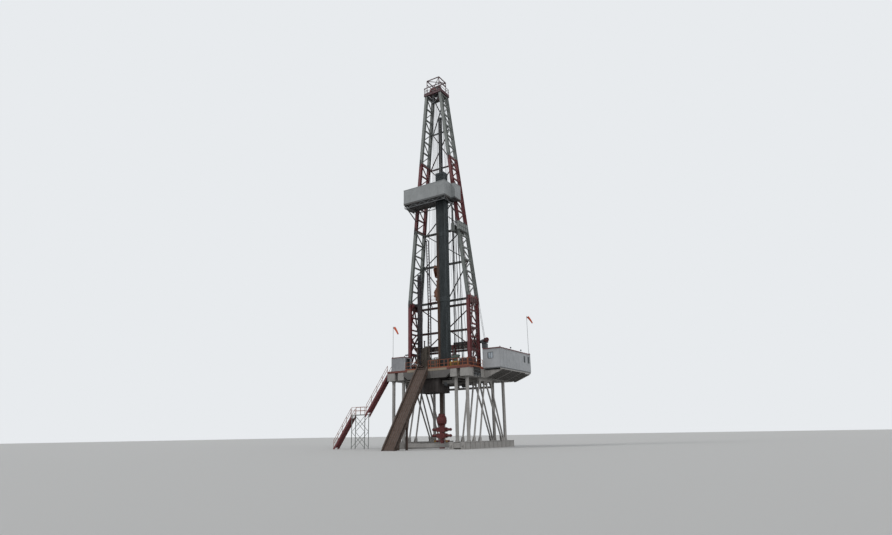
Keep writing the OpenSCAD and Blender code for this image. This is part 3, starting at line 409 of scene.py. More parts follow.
def add_tube_path(bm, points, radius, sides=8):
    """Rods along the points, with a ball at each bend."""
    for a, b in zip(points, points[1:]):
        add_rod(bm, a, b, radius, sides)
    for point in points[1:-1]:
        bmesh.ops.create_uvsphere(bm, u_segments=sides, v_segments=6, radius=radius,
                                  matrix=Matrix.Translation(point))


def add_bolt(bm, centre, axis, radius=0.0022, height=0.0022):
    centre, axis = Vector(centre), Vector(axis).normalized()
    add_rod(bm, centre, centre + axis * height, radius, 6)


def add_pin(bm, centre, axis, start, end, radius, sides=10):
    """Round bar along an axis through centre, from start to end on it."""
    centre, axis = Vector(centre), Vector(axis)
    add_rod(bm, centre + axis * start, centre + axis * end, radius, sides)


def add_plate(bm, outline, push):
    """Flat plate: the outline's face pushed out by the given vector."""
    face = bm.faces.new([bm.verts.new(point) for point in outline])
    grown = bmesh.ops.extrude_face_region(bm, geom=[face])
    bmesh.ops.translate(bm, verts=[v for v in grown["geom"] if isinstance(v, bmesh.types.BMVert)], vec=push)


def add_ring(bm, centre, axis, radius, tube, around=20, section=6):
    """Round bar bent to a full circle."""
    centre, axis = Vector(centre), Vector(axis).normalized()
    side = axis.orthogonal().normalized()
    place = Matrix.Translation(centre + side * radius) @ turn_to(side.cross(axis))
    circle = bmesh.ops.create_circle(bm, segments=section, radius=tube, matrix=place)
    edges = {edge: None for vert in circle["verts"] for edge in vert.link_edges}
    bmesh.ops.spin(bm, geom=circle["verts"] + list(edges), cent=centre, axis=axis, angle=math.tau,
                   steps=around, use_merge=True)


def add_bolt_circle(bm, centre, axis, radius, count, size=0.0022, height=0.0022):
    axis = Vector(axis).normalized()
    side = axis.orthogonal().normalized()
    for i in range(count):
        out = Matrix.Rotation(math.tau * (i + 0.5) / count, 3, axis) @ side
        add_bolt(bm, Vector(centre) + out * radius, axis, size, height)


def add_frame(bm, low, high, axis, width, depth):
    """Four bars round an opening whose box is low to high; axis is the way through it."""
    low, high = Vector(low), Vector(high)
    a, b = [i for i in range(3) if i != axis]
    middle = (low[axis] + high[axis]) / 2
    for across, run in ((a, b), (b, a)):
        for edge in (low[across] - width / 2, high[across] + width / 2):
            lo, hi = Vector(low), Vector(high)
            lo[across], hi[across] = edge - width / 2, edge + width / 2
            reach = width if across == a else 0
            lo[run], hi[run] = low[run] - reach, high[run] + reach
            lo[axis], hi[axis] = middle - depth / 2, middle + depth / 2
            add_box(bm, *zip(lo, hi))


def add_hoop(bm, centre, radius, start, angle, width, thickness, steps=14, axis=(0, 0, 1)):
    """Flat strip bent round centre: start is the direction of its first end."""
    axis, start = Vector(axis).normalized(), Vector(start).normalized()
    corners = [Vector(centre) + start * r + axis * h for r, h in
               ((radius, -width / 2), (radius + thickness, -width / 2),
                (radius + thickness, width / 2), (radius, width / 2))]
    face = bm.faces.new([bm.verts.new(corner) for corner in corners])
    bmesh.ops.spin(bm, geom=[face], cent=Vector(centre), axis=axis, angle=angle, steps=steps,
                   use_merge=abs(angle) > 6.28)


def finish_piece(bm, name, material, body="rig", bevel=0.0, smooth=False):
    """Turns a bmesh into a piece of the object that rides on a body, or on none."""
    bmesh.ops.recalc_face_normals(bm, faces=bm.faces)
    if bevel:
        sharp = [e for e in bm.edges if len(e.link_faces) == 2 and e.calc_face_angle(0) > 0.6]
        bmesh.ops.bevel(bm, geom=sharp, offset=bevel, segments=2, profile=0.5, affect="EDGES", material=-1)
    mesh = bpy.data.meshes.new(name)
    bm.to_mesh(mesh)
    bm.free()
    mesh.materials.append(material)
    if smooth:
        mesh.shade_smooth()
    piece = bpy.data.objects.new(name, mesh)
    bpy.context.scene.collection.objects.link(piece)
    if body:
        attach(piece, body)
    return piece


# Mast

def chord_point(side, rear, z):
    return Vector((side * chord_x(z), chord_y(z, rear), z))


def mast_splices():
    """Bolted splice plates where two bands of the mast meet."""
    plates, bolts = new_meshes(2)
    reach, plate_t, pairs = 0.055, 0.003, 6
    for z in BANDS[1:-1]:
        for side, rear in LEGS:
            for face in SIDES:
                off = Vector((0, face * (CHORD / 2 + plate_t / 2), 0))
                low, high = (chord_point(side, rear, end) + off for end in near(z, reach))
                add_bar(plates, low, high, CHORD - 0.004, plate_t)
                for i in range(pairs):
                    for dx in (-0.011, 0.011):
                        at = low.lerp(high, (i + 0.5) / pairs) + Vector((dx, face * plate_t / 2, 0))
                        add_bolt(bolts, at, (0, face, 0))
    finish_piece(plates, "mast_splice_plates", GREY, bevel=0.0006)
    finish_piece(bolts, "mast_splice_bolts", STEEL)


def mast_gussets():
    """Gusset plates on the outside of the mast where side girts and diagonals meet the chords."""
    for colour, paint, bands in (("red", MAROON, (0, 2)), ("white", WHITE, (1, 3))):
        bm = bmesh.new()
        for band in bands:
            for i in range(SIDE_PANELS[band] + 1):
                for side, rear in LEGS:
                    foot = chord_point(side, rear, side_level(band, i))
                    foot += Vector((side * (GIRT / 2 + 0.0015), -0.018 if rear else 0.018, 0))
                    add_bar(bm, foot - lift(0.024), foot + lift(0.024), 0.003, 0.036)
        finish_piece(bm, f"mast_gussets_{colour}", paint)


def ladder_cage():
    """Safety cage round the ladder inside the mast's right side."""
    bm = bmesh.new()
    radius, strip_t, pitch = 0.034, 0.0020, 0.075
    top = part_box("ladder_platform")[0].z - 0.02

    def middle(z):
        return Vector((chord_x(z) - GIRT / 2 - 0.024, (chord_y(z, False) + chord_y(z)) / 2, z))

    hoops = []
    z = DECK + 0.22
    while z < top:
        hoops.append(z)
        add_hoop(bm, middle(z), radius, (0.3, 1, 0), math.radians(214), 0.007, strip_t, 10)
        z += pitch
    for angle in range(100, 261, 40):
        off = level_way(math.radians(angle)) * (radius + 0.0015)
        for low, high in ((hoops[0], KINK), (KINK, hoops[-1])):
            add_bar(bm, middle(low) + off, middle(high) + off, 0.006, strip_t)
    finish_piece(bm, "ladder_cage", MAROON)


# Ropes

def running_ropes():
    """The lines between crown and travelling block."""
    low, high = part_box("drilling_lines")
    bm = bmesh.new()
    count, pitch, radius, cuts = 5, 0.020, 0.0019, 60
    for i in range(count):
        x = (i - (count - 1) / 2) * pitch
        for side in SIDES:
            place = Matrix.Translation((x, side * (high.y - radius), (low.z + high.z) / 2))
            bmesh.ops.create_cone(bm, cap_ends=True, segments=8, radius1=radius, radius2=radius,
                                  depth=high.z - low.z, matrix=place)
    long_edges = [e for e in bm.edges if abs(e.verts[0].co.z - e.verts[1].co.z) > 0.5]
    bmesh.ops.subdivide_edges(bm, edges=long_edges, cuts=cuts, use_grid_fill=False)
    piece = finish_piece(bm, "running_ropes", ROPE, body=None, smooth=True)
    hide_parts("drilling_lines")
    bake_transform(piece)


def fixed_lines():
    """Fast line to the drawworks drum, dead line, and tugger lines down the mast."""
    bm = bmesh.new()
    line_r, tugger_r = 0.0019, 0.0024
    sheave_x, sheave_y = 0.046, 0.0725
    drum, anchor = (0.02, 0.60, DECK + 0.16), (-0.34, -0.01, DECK + 0.06)
    add_rod(bm, (sheave_x, sheave_y, SHEAVE_Z), drum, line_r, 8)
    add_rod(bm, (-sheave_x, -sheave_y, SHEAVE_Z), anchor, line_r, 8)
    # Head and foot of each tugger line, as seen from above
    tuggers = (((0.10, -0.03), (0.30, 0.02)), ((0.11, 0.03), (0.36, 0.06)), ((0.115, 0.05), (0.40, 0.10)),
               ((-0.105, 0.02), (-0.30, 0.09)))
    for head, foot in tuggers:
        add_rod(bm, (*head, MAST_TOP + 0.01), (*foot, DECK + 0.05), tugger_r, 8)
    finish_piece(bm, "fixed_lines", ROPE, smooth=True)


# Substructure

# Middle lines of the four base beams, and where the columns stand on them
BEAM_XS = [side * row for side in SIDES for row in (0.430, 0.600)]
COLUMN_Y = (-0.310, 0.740)
BASE_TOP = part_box("base_beams")[1].z
BASE_FRONT, BASE_REAR = (corner.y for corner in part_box("base_beams"))
GIRDER_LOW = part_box("floor_girders")[0].z


def column_fittings():
    """Gussets and bolts on the flanges at both ends of each column."""
    fins, bolts = new_meshes(2)
    tube, flange, fin_h, fin_t, count = 0.023, 0.029, 0.030, 0.002, 8
    for x in BEAM_XS:
        for y in COLUMN_Y:
            for z, way in ((BASE_TOP + 0.006, 1), (GIRDER_LOW - 0.006, -1)):
                centre = Vector((x, y, z))
                add_bolt_circle(bolts, centre, (0, 0, way), 0.0262, count, 0.002, 0.0025)
                for i in range(count):
                    out = level_way(math.tau * i / count)
                    across = Vector((-out.y, out.x, 0)) * fin_t
                    foot = centre + out * tube - across / 2
                    heel = foot - out * 0.001
                    add_plate(fins, (heel, foot + out * (flange - tube), heel + lift(way * fin_h)), across)
    finish_piece(fins, "column_gussets", PALE)
    finish_piece(bolts, "column_bolts", STEEL)


def base_beam_plates():
    """Flange edges and web stiffeners of the base beams, lifting lugs at their ends."""
    bm = bmesh.new()
    half, lip, plate = 0.030, 0.006, 0.005
    for x in BEAM_XS:
        edges = [(x + face * half, x + face * (half + lip)) for face in SIDES]
        for zs in ((0.0, plate), (BASE_TOP - plate, BASE_TOP)):
            for xs in edges:
                add_box(bm, xs, (BASE_FRONT, BASE_REAR), zs)
        for xs in edges:
            for y in spaced(BASE_FRONT + 0.02, BASE_REAR - 0.02, 12):
                add_box(bm, xs, near(y, 0.0025), (plate, BASE_TOP - plate))
        for y in (BASE_FRONT, BASE_REAR):
            lug = Matrix.Translation((x, y, 0.046)) @ Matrix.Rotation(math.radians(90), 4, "Y")
            bmesh.ops.create_cone(bm, cap_ends=True, segments=20, radius1=0.018, radius2=0.018, depth=0.008,
                                  matrix=lug)
    finish_piece(bm, "base_beam_plates", PALE)


def girder_plates():
    """Flange edges and stiffeners on the sides of the floor girders."""
    bm = bmesh.new()
    plate, lip, pitch = 0.006, 0.006, 0.11
    # Each girder face: its x, the way that it looks, and where its plates end at the rear
    faces = ((-FLOOR_X, -1, 0.96), (FLOOR_X, 1, 0.038), (-0.540, 1, 0.96), (0.540, -1, 0.96),
             (-0.475, -1, 0.96), (0.475, 1, 0.96), (-0.385, 1, 0.96), (0.385, -1, 0.96))
    for x, out, rear in faces:
        xs = (x, x + out * lip)
        for zs in ((GIRDER_LOW, GIRDER_LOW + plate), (DECK_UNDER - plate, DECK_UNDER)):
            add_box(bm, xs, (FLOOR_FRONT, rear), zs)
        steps = max(1, round((rear - FLOOR_FRONT) / pitch))
        for y in spaced(FLOOR_FRONT + 0.004, rear - 0.004, steps + 1):
            add_box(bm, xs, near(y, 0.0025), (GIRDER_LOW + plate, DECK_UNDER - plate))
    finish_piece(bm, "girder_plates", PALE)


def setback_frame_plates():
    """Ribs and flange edges of the dark box frame under the floor."""
    low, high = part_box("setback_beams")
    bm = bmesh.new()
    lip, rib = 0.005, 0.0025
    flanks = ((low.x - lip, low.x), (high.x, high.x + lip))
    for z in (low.z + 0.004, high.z - 0.004):
        add_box(bm, (low.x - lip, high.x + lip), (low.y - lip, low.y), near(z, 0.004))
        for xs in flanks:
            add_box(bm, xs, (low.y, high.y), near(z, 0.004))
    for x in spaced(low.x + 0.003, high.x - 0.003, 7):
        add_box(bm, near(x, rib), (low.y - lip, low.y), (low.z, high.z))
    for y in spaced(low.y + 0.003, high.y - 0.003, 6):
        for xs in flanks:
            add_box(bm, xs, near(y, rib), (low.z, high.z))
    finish_piece(bm, "setback_frame_plates", DARK_PAINT_AND_SHADE)


def brace_shoes():
    """Gusset plates at the feet and heads of the twin brace tubes."""
    bm = bmesh.new()
    head, plate_t = GIRDER_LOW - 0.040, 0.002
    for x in BEAM_XS:
        for foot, top in ((-0.180, 0.020), (-0.020, 0.165), (0.630, 0.200), (0.685, 0.340)):
            slope = (top - foot) / (head - BASE_TOP)
            low_tip, high_tip = foot + slope * 0.06, top - slope * 0.05
            shoe = ((foot - 0.032, BASE_TOP), (foot + 0.032, BASE_TOP),
                    (low_tip + 0.012, BASE_TOP + 0.06), (low_tip - 0.012, BASE_TOP + 0.06))
            cap = ((top + 0.030, head), (top - 0.030, head),
                   (high_tip - 0.012, head - 0.05), (high_tip + 0.012, head - 0.05))
            for at in (x - 0.0135, x + 0.0115):
                for outline in (shoe, cap):
                    add_plate(bm, [(at, *corner) for corner in outline], (plate_t, 0, 0))
    finish_piece(bm, "brace_shoes", PALE)


def girder_hoses():
    """Short hoses clamped side by side on the outside of the right floor girder."""
    hoses, clamps = new_meshes(2)
    x, count, pitch = FLOOR_X + 0.013, 7, 0.027
    for i in range(count):
        y, low = -0.235 + i * pitch, 0.930 + 0.012 * (i % 3)
        path = ((x, low), (x, 1.010), (x - 0.004, 1.030), (x - 0.013, 1.046), (x - 0.05, 1.0555))
        add_tube_path(hoses, [(px, y, pz) for px, pz in path], 0.0055, 10)
        add_rod(clamps, (x, y, low - 0.012), (x, y, low + 0.010), 0.0068, 10)
    for z in (0.965, 1.005):
        add_box(clamps, (FLOOR_X + 0.004, FLOOR_X + 0.0205), (-0.246, -0.062), near(z, 0.003))
    finish_piece(hoses, "girder_hoses", RUBBER, smooth=True)
    finish_piece(clamps, "girder_hose_clamps", GREY)


def trolley_beams():
    """Beams under the floor from which the wellhead stack is lifted, with their hangers and trolleys."""
    beams, trolleys = new_meshes(2)
    xs, z, half = (-0.300, 0.360), 0.868, 0.020
    for y in (-0.235, 0.235):
        add_box(beams, xs, near(y, 0.002), near(z, half))
        for flange in near(z, half):
            add_box(beams, xs, near(y, 0.011), near(flange, 0.002))
        for x in (-0.280, 0.030, 0.340):
            add_bar(beams, (x, y, z + half), (x, y, DECK_UNDER), 0.014)
            add_box(beams, near(x, 0.014), near(y, 0.014), (DECK_UNDER - 0.004, DECK_UNDER))
        for x in (-0.180, 0.230):
            for side in SIDES:
                add_box(trolleys, near(x, 0.022), near(y + side * 0.014, 0.002), (z - 0.046, z - 0.006))
                for wheel_x in near(x, 0.011):
                    add_pin(trolleys, (wheel_x, y, z - 0.012), (0, side, 0), 0.005, 0.012, 0.006, 16)
            add_pin(trolleys, (x, y, z - 0.038), (0, 1, 0), -0.016, 0.016, 0.004, 12)
            add_ring(trolleys, (x, y, z - 0.050), (1, 0, 0), 0.009, 0.0022, 20)
    finish_piece(beams, "trolley_beams", PALE)
    finish_piece(trolleys, "stack_trolleys", GREY)


# Wellhead stack

def stack_fittings():
    """Studs, ram bonnets, choke and kill valves and hand wheels of the wellhead stack."""
    body, studs, wheels = new_meshes(3)
    flange_t, bonnet = 0.012, 0.072
    for z in (0.060, 0.122, 0.294):
        for end, way in ((z + flange_t, 1), (z, -1)):
            add_bolt_circle(studs, (0, 0, end), (0, 0, way), 0.0335, 16, 0.0018, 0.004)
    for z in (0.169, 0.249):
        for side in SIDES:
            add_box(body, (side * 0.060, side * bonnet), near(0, 0.030), near(z, 0.030))
            for dy in (-0.024, 0, 0.024):
                for bolt_z in near(z, 0.024):
                    add_bolt(studs, (side * bonnet, dy, bolt_z), (side, 0, 0), 0.0026, 0.004)
            # Rings of the ram's cylinder and its stem: start and end on the axis, radius, sides
            for ring in ((0.092, 0.102, 0.0205, 24), (0.138, 0.148, 0.0205, 24), (0.148, 0.160, 0.008, 12)):
                add_pin(body, (0, 0, z), (side, 0, 0), *ring)
    cap_r, cap_z, cap_bolts = 0.057, 0.4225, 12
    for i in range(cap_bolts):
        out = level_way(math.tau * i / cap_bolts)
        add_bolt(studs, out * cap_r + lift(cap_z), (out.x, out.y, 1.3), 0.003, 0.004)
    add_ring(body, (0, 0, 0.366), (0, 0, 1), 0.0695, 0.003, 36)
    valve_z, valve_end, wheel_r = 0.097, 0.110, 0.014
    for side in SIDES:
        add_box(body, (side * 0.079, side * valve_end), near(0, 0.010), near(valve_z, 0.012))
        add_pin(body, (0, 0, valve_z), (side, 0, 0), valve_end, valve_end + 0.006, 0.015, 20)
        hub = Vector((side * 0.095, -0.034, valve_z))
        add_pin(wheels, hub, (0, 1, 0), 0.024, 0, 0.003, 8)
        add_ring(wheels, hub, (0, 1, 0), wheel_r, 0.0016, 20)
        for turn in (0, 60, 120):
            spoke = Vector((math.cos(math.radians(turn)), 0, math.sin(math.radians(turn)))) * wheel_r
            add_rod(wheels, hub - spoke, hub + spoke, 0.0011, 6)
    finish_piece(body, "stack_bonnets", STACK, bevel=0.0012)
    finish_piece(studs, "stack_studs", STEEL)
    finish_piece(wheels, "stack_hand_wheels", YELLOW)


# Drill floor

def deck_details():
    """Front edge plates, seams and covers of the deck, sockets of the rails."""
    seams, edge, cream, sockets = new_meshes(4)
    for x0, x1 in ((-0.318, -0.168), (0.028, 0.330)):
        add_box(cream, (x0, x1), (FLOOR_FRONT - 0.002, FLOOR_FRONT), (DECK_UNDER - 0.012, DECK - 0.002))
    for x0, x1 in ((-0.664, -0.318), (0.330, 0.664)):
        add_box(edge, (x0, x1), (FLOOR_FRONT - 0.003, FLOOR_FRONT), (DECK_UNDER - 0.004, DECK + 0.004))
    add_box(edge, (-0.664, -FLOOR_X), (FLOOR_FRONT, FLOOR_REAR), (DECK_UNDER - 0.002, DECK + 0.004))
    # Seams of the deck, and the covers of two pipe holes in it
    seam_z = (DECK, DECK + 0.0008)
    for x in (-0.56, -0.24, 0.24, 0.46):
        add_box(seams, near(x, 0.002), (-0.105, FLOOR_REAR - 0.01), seam_z)
    for y in (-0.105, 0.30, 0.46, 0.83):
        add_box(seams, (-FLOOR_X + 0.01, FLOOR_X - 0.01), near(y, 0.002), seam_z)
    for x, y in ((-0.115, -0.10), (-0.05, -0.17)):
        add_rod(seams, (x, y, DECK), (x, y, DECK + 0.010), 0.017, 20)
        add_ring(seams, (x, y, DECK + 0.010), (0, 0, 1), 0.0155, 0.002, 20)
    front = FLOOR_FRONT + 0.006
    spans = (((0.03, front), (0.654, front)), ((-0.345, front), (-0.17, front)),
             ((0.654, front + 0.012), (0.654, 0.033)), ((-0.654, -0.255), (-0.654, 0.942)),
             ((-0.654, FLOOR_REAR - 0.006), (0.654, FLOOR_REAR - 0.006)))
    for (ax, ay), (bx, by) in spans:
        count = max(1, round(math.hypot(bx - ax, by - ay) / 0.15))
        for i in range(count + 1):
            x, y = mix(ax, bx, i / count), mix(ay, by, i / count)
            add_box(sockets, near(x, 0.0045), near(y, 0.0045), (DECK, DECK + 0.014))
    finish_piece(seams, "deck_seams", GREY)
    finish_piece(edge, "deck_edge", RED)
    finish_piece(cream, "deck_front_strip", CREAM)
    finish_piece(sockets, "rail_sockets", ORANGE, bevel=0.0006)


def rotary_details():
    """Bushing, segments and locking bolts of the rotary table."""
    bm = bmesh.new()
    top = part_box("rotary_table")[1].z
    add_ring(bm, (0, 0, top), (0, 0, 1), 0.078, 0.0025, 48)
    add_ring(bm, (0, 0, top), (0, 0, 1), 0.0515, 0.0022, 40)
    for i in range(16):
        out = level_way(math.tau * i / 16)
        add_bar(bm, out * 0.056 + lift(top + 0.0006), out * 0.074 + lift(top + 0.0006), 0.003, 0.0012)
    finish_piece(bm, "rotary_details", STEEL)


def power_unit_details():
    """Frame, louvres and lugs of the yellow machine at the front rail, and the control console on it."""
    low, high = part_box("power_unit")
    body, louvres, console, knobs = new_meshes(4)
    for x in (low.x + 0.006, high.x - 0.006):
        for y in (low.y + 0.004, high.y - 0.004):
            add_box(body, near(x, 0.005), near(y, 0.005), (low.z + 0.012, high.z + 0.006))
    front = low.y + 0.006
    add_frame(body, (low.x + 0.020, front, low.z + 0.022), (high.x - 0.020, front, high.z - 0.010),
              1, 0.005, 0.008)
    for i in range(6):
        z = low.z + 0.026 + i * 0.008
        add_bar(louvres, (low.x + 0.024, low.y + 0.004, z), (high.x - 0.024, low.y + 0.004, z), 0.002, 0.004)
    for x in (low.x + 0.03, high.x - 0.03):
        add_ring(body, (x, (low.y + high.y) / 2, high.z + 0.002), (0, 1, 0), 0.012, 0.002, 16)
    x0, x1, y0, y1 = low.x + 0.028, high.x - 0.034, low.y + 0.018, high.y - 0.022
    outline = ((y0, 0.045), (y1, 0.045), (y1, 0.088), (y0 + 0.022, 0.088), (y0, 0.066))
    add_plate(console, [(x0, y, high.z + z) for y, z in outline], (x1 - x0, 0, 0))
    add_box(console, (x0 + 0.02, x1 - 0.02), (y0 + 0.014, y1 - 0.014), (high.z, high.z + 0.046))
    for x in spaced(x0 + 0.012, x1 - 0.012, 5):
        add_rod(knobs, (x, y0 + 0.011, high.z + 0.076), (x, y0 + 0.004, high.z + 0.083), 0.003, 10)
    finish_piece(body, "power_unit_frame", YELLOW, bevel=0.0015)
    finish_piece(louvres, "power_unit_louvres", DARK_PAINT_AND_SHADE)
    finish_piece(console, "control_console", GREEN, bevel=0.0016)
    finish_piece(knobs, "console_knobs", STEEL)


def air_winches():
    """Two air winches by the head of the ramp and a third behind the front rail."""
    frames, drums, rope = new_meshes(3)
    wraps, pitch = 13, 0.0043
    for x, y in ((-0.262, -0.225), (-0.290, -0.120), (0.062, -0.235)):
        hub = Vector((x, y, DECK + 0.062))
        post_x, post_y = x - 0.040, y + 0.030
        add_box(frames, near(x, 0.045), near(y, 0.035), (DECK, DECK + 0.010))
        for side in SIDES:
            cheek = ((y - 0.030, 0.010), (y + 0.030, 0.010), (y + 0.012, 0.100), (y - 0.012, 0.100))
            add_plate(frames, [(x + side * 0.038, cy, DECK + cz) for cy, cz in cheek], (side * 0.004, 0, 0))
            add_pin(drums, hub, (side, 0, 0), 0.030, 0.035, 0.036, 24)
        add_pin(drums, hub, (1, 0, 0), -0.030, 0.030, 0.018, 20)
        for i in range(wraps):
            add_ring(rope, hub + Vector((i * pitch - 0.026, 0, 0)), (1, 0, 0), 0.0215, 0.0021, 20, 6)
        add_pin(frames, hub, (1, 0, 0), 0.042, 0.066, 0.017, 18)
        add_bar(frames, (post_x, post_y, DECK + 0.010), (post_x, post_y, DECK + 0.170), 0.008)
        add_bar(frames, (post_x, post_y, DECK + 0.166), (x + 0.020, post_y, DECK + 0.166), 0.006)
    finish_piece(frames, "floor_winch_frames", BROWN, bevel=0.0008)
    finish_piece(drums, "floor_winch_drums", STEEL)
    finish_piece(rope, "floor_winch_ropes", ROPE, smooth=True)


def pipe_spinner():
    """Pipe spinning machine on its column."""
    column, jaws = new_meshes(2)
    x, y = 0.236, -0.020
    add_box(column, near(x, 0.034), near(y, 0.030), (DECK, DECK + 0.012))
    for post_x in near(x, 0.020):
        add_bar(column, (post_x, y, DECK + 0.012), (post_x, y, DECK + 0.340), 0.012, 0.016)
    add_box(column, near(x, 0.030), near(y, 0.012), (DECK + 0.326, DECK + 0.342))
    add_box(column, near(x, 0.027), (y - 0.034, y - 0.004), (DECK + 0.130, DECK + 0.215))
    for z in (DECK + 0.145, DECK + 0.180):
        add_hoop(jaws, (x - 0.006, y - 0.056, z), 0.018, (0.5, -1, 0), math.radians(290), 0.020, 0.009, 18)
    add_rod(jaws, (x + 0.012, y - 0.018, DECK + 0.215), (x + 0.012, y - 0.018, DECK + 0.300), 0.007, 14)
    finish_piece(column, "spinner_column", STACK, bevel=0.001)
    finish_piece(jaws, "spinner_jaws", STEEL)


def v_door_posts():
    """Braced posts on either side of the ramp's head."""
    bm = bmesh.new()
    y = -0.200
    for x in (-0.268, -0.062):
        add_bar(bm, (x, y, DECK), (x, y, DECK + 0.310), 0.014)
        add_box(bm, near(x, 0.016), near(y, 0.016), (DECK, DECK + 0.004))
        add_bar(bm, (x, y + 0.004, DECK + 0.200), (x, y + 0.080, DECK + 0.004), 0.008)
        add_pin(bm, (x, y, DECK + 0.322), (1, 0, 0), -0.006, 0.006, 0.014, 20)
    finish_piece(bm, "v_door_posts", BROWN)


def bottle_rack():
    """Two tiers of gas bottles in a frame on the left of the floor."""
    bm = bmesh.new()
    for z in (DECK + 0.010, DECK + 0.120, DECK + 0.235):
        add_frame(bm, (-0.396, 0.306, z - 0.003), (-0.264, 0.394, z + 0.003), 2, 0.006, 0.006)
    for x in (-0.399, -0.261):
        for y in (0.303, 0.397):
            add_bar(bm, (x, y, DECK), (x, y, DECK + 0.240), 0.007)
    for foot in (DECK + 0.012, DECK + 0.124):
        for i in range(6):
            for j in range(3):
                x, y = -0.386 + i * 0.0224, 0.318 + j * 0.032
                add_rod(bm, (x, y, foot), (x, y, foot + 0.084), 0.0096, 14)
                add_rod(bm, (x, y, foot + 0.084), (x, y, foot + 0.096), 0.0096, 14, 0.003)
    finish_piece(bm, "bottle_rack", OLIVE)


def floor_lockers():
    """Ribbed lockers with lids, round the floor."""
    bm = bmesh.new()
    # Left, right, front and rear edge of each locker, and its height
    lockers = ((0.505, 0.625, -0.330, -0.262, 0.105), (0.350, 0.440, 0.000, 0.080, 0.120),
               (-0.480, -0.410, -0.180, -0.090, 0.090), (0.555, 0.630, -0.190, -0.100, 0.130))
    for x0, x1, y0, y1, tall in lockers:
        top = DECK + tall
        add_box(bm, (x0, x1), (y0, y1), (DECK, top))
        for x in spaced(x0, x1, 5)[1:-1]:
            add_box(bm, near(x, 0.0015), (y0 - 0.002, y0), (DECK + 0.006, top - 0.006))
        add_box(bm, (x0 - 0.002, x1 + 0.002), (y0 - 0.002, y1 + 0.002), (top, top + 0.003))
    finish_piece(bm, "floor_lockers", DARK_RED_AND_SHADE, bevel=0.001)


def toe_boards():
    """Toe boards along the rails, and more posts in the front rail."""
    bm = bmesh.new()
    front = FLOOR_FRONT + 0.006
    for xs, ys in (((0.034, 0.650), near(front, 0.001)), ((-0.340, -0.176), near(front, 0.001)),
                   ((0.653, 0.655), (front + 0.014, 0.030)), ((-0.655, -0.653), (-0.250, 0.940))):
        add_box(bm, xs, ys, (DECK, DECK + 0.015))
    for i in range(9):
        x = 0.07 + i * 0.072
        add_bar(bm, (x, front, DECK), (x, front, DECK + 0.106), 0.005)
    finish_piece(bm, "toe_boards", ORANGE)


def floor_lamp():
    """Lamp post at the front rail on the left, with a twin flood light."""
    bm = bmesh.new()
    x, y, top = -0.348, -0.345, 1.262
    add_rod(bm, (x, y, DECK), (x, y, top), 0.0028, 10)
    add_box(bm, near(x, 0.010), near(y, 0.008), (DECK, DECK + 0.003))
    add_bar(bm, (x - 0.018, y, top), (x + 0.018, y, top), 0.004)
    finish_piece(bm, "floor_lamp_post", GREY)
    places = [(lamp_x, y - 0.004, top + 0.008) for lamp_x in near(x, 0.014)]
    flood_lights("floor_lamps", places, (0, -1, -0.4))


def flood_lights(name, places, facing, size=0.012):
    """Boxy flood lights with a finned back and a glass front."""
    cases, glasses = new_meshes(2)
    facing = Vector(facing).normalized()
    fin_step = Vector((-facing.y, facing.x, 0)).normalized() * size * 0.45
    ahead = facing * size
    for place in places:
        place = Vector(place)
        add_bar(cases, place - ahead * 0.45, place + ahead * 0.45, size * 1.7, size * 1.3)
        for i in (-1, 0, 1):
            root = place + fin_step * i
            add_bar(cases, root - ahead * 0.75, root - ahead * 0.4, size * 0.12, size)
        add_bar(glasses, place + ahead * 0.4, place + ahead * 0.52, size * 1.45, size * 1.05)
    finish_piece(cases, name, GREY, bevel=size * 0.06)
    finish_piece(glasses, f"{name}_glass", GLASS)


def drawworks_details():
    """Wound drum with its hood, and covers, ribs and couplings of the drawworks."""
    rope, cover, steel = new_meshes(3)
    hub = Vector((0, 0.640, DECK + 0.110))
    wraps, pitch = 42, 0.0039
    inner, outer, coupling = 0.096, 0.190, 0.007
    front, rear, back, top = 0.520, 0.760, 0.778, DECK + 0.190
    for i in range(wraps):
        add_ring(rope, hub + Vector((i * pitch - 0.080, 0, 0)), (1, 0, 0), 0.0562, 0.00195, 28, 6)
    for side in SIDES:
        low_x, high_x = sorted((side * inner, side * outer))
        for x in spaced(low_x + 0.010, high_x - 0.010, 4):
            add_box(cover, near(x, 0.002), (front - 0.004, front), (DECK + 0.03, top - 0.005))
            add_box(cover, near(x, 0.002), (front, rear), (top, top + 0.004))
        add_pin(steel, hub, (side, 0, 0), outer, outer + coupling, 0.050, 32)
        end = hub + Vector((side * (outer + coupling), 0, 0))
        add_bolt_circle(steel, end, (side, 0, 0), 0.042, 12, 0.003, 0.003)
        add_box(cover, (low_x + 0.012, high_x - 0.012), (rear, back), (DECK + 0.05, DECK + 0.14))
    add_box(cover, near(0, 0.100), (0.735, back), (DECK + 0.022, DECK + 0.085))
    add_hoop(cover, hub, 0.084, (0, 1, 0.2), math.radians(100), 0.176, 0.003, 12, (1, 0, 0))
    finish_piece(rope, "drum_rope", ROPE, smooth=True)
    finish_piece(cover, "drawworks_covers", GREEN, bevel=0.001)
    finish_piece(steel, "drawworks_couplings", STEEL)


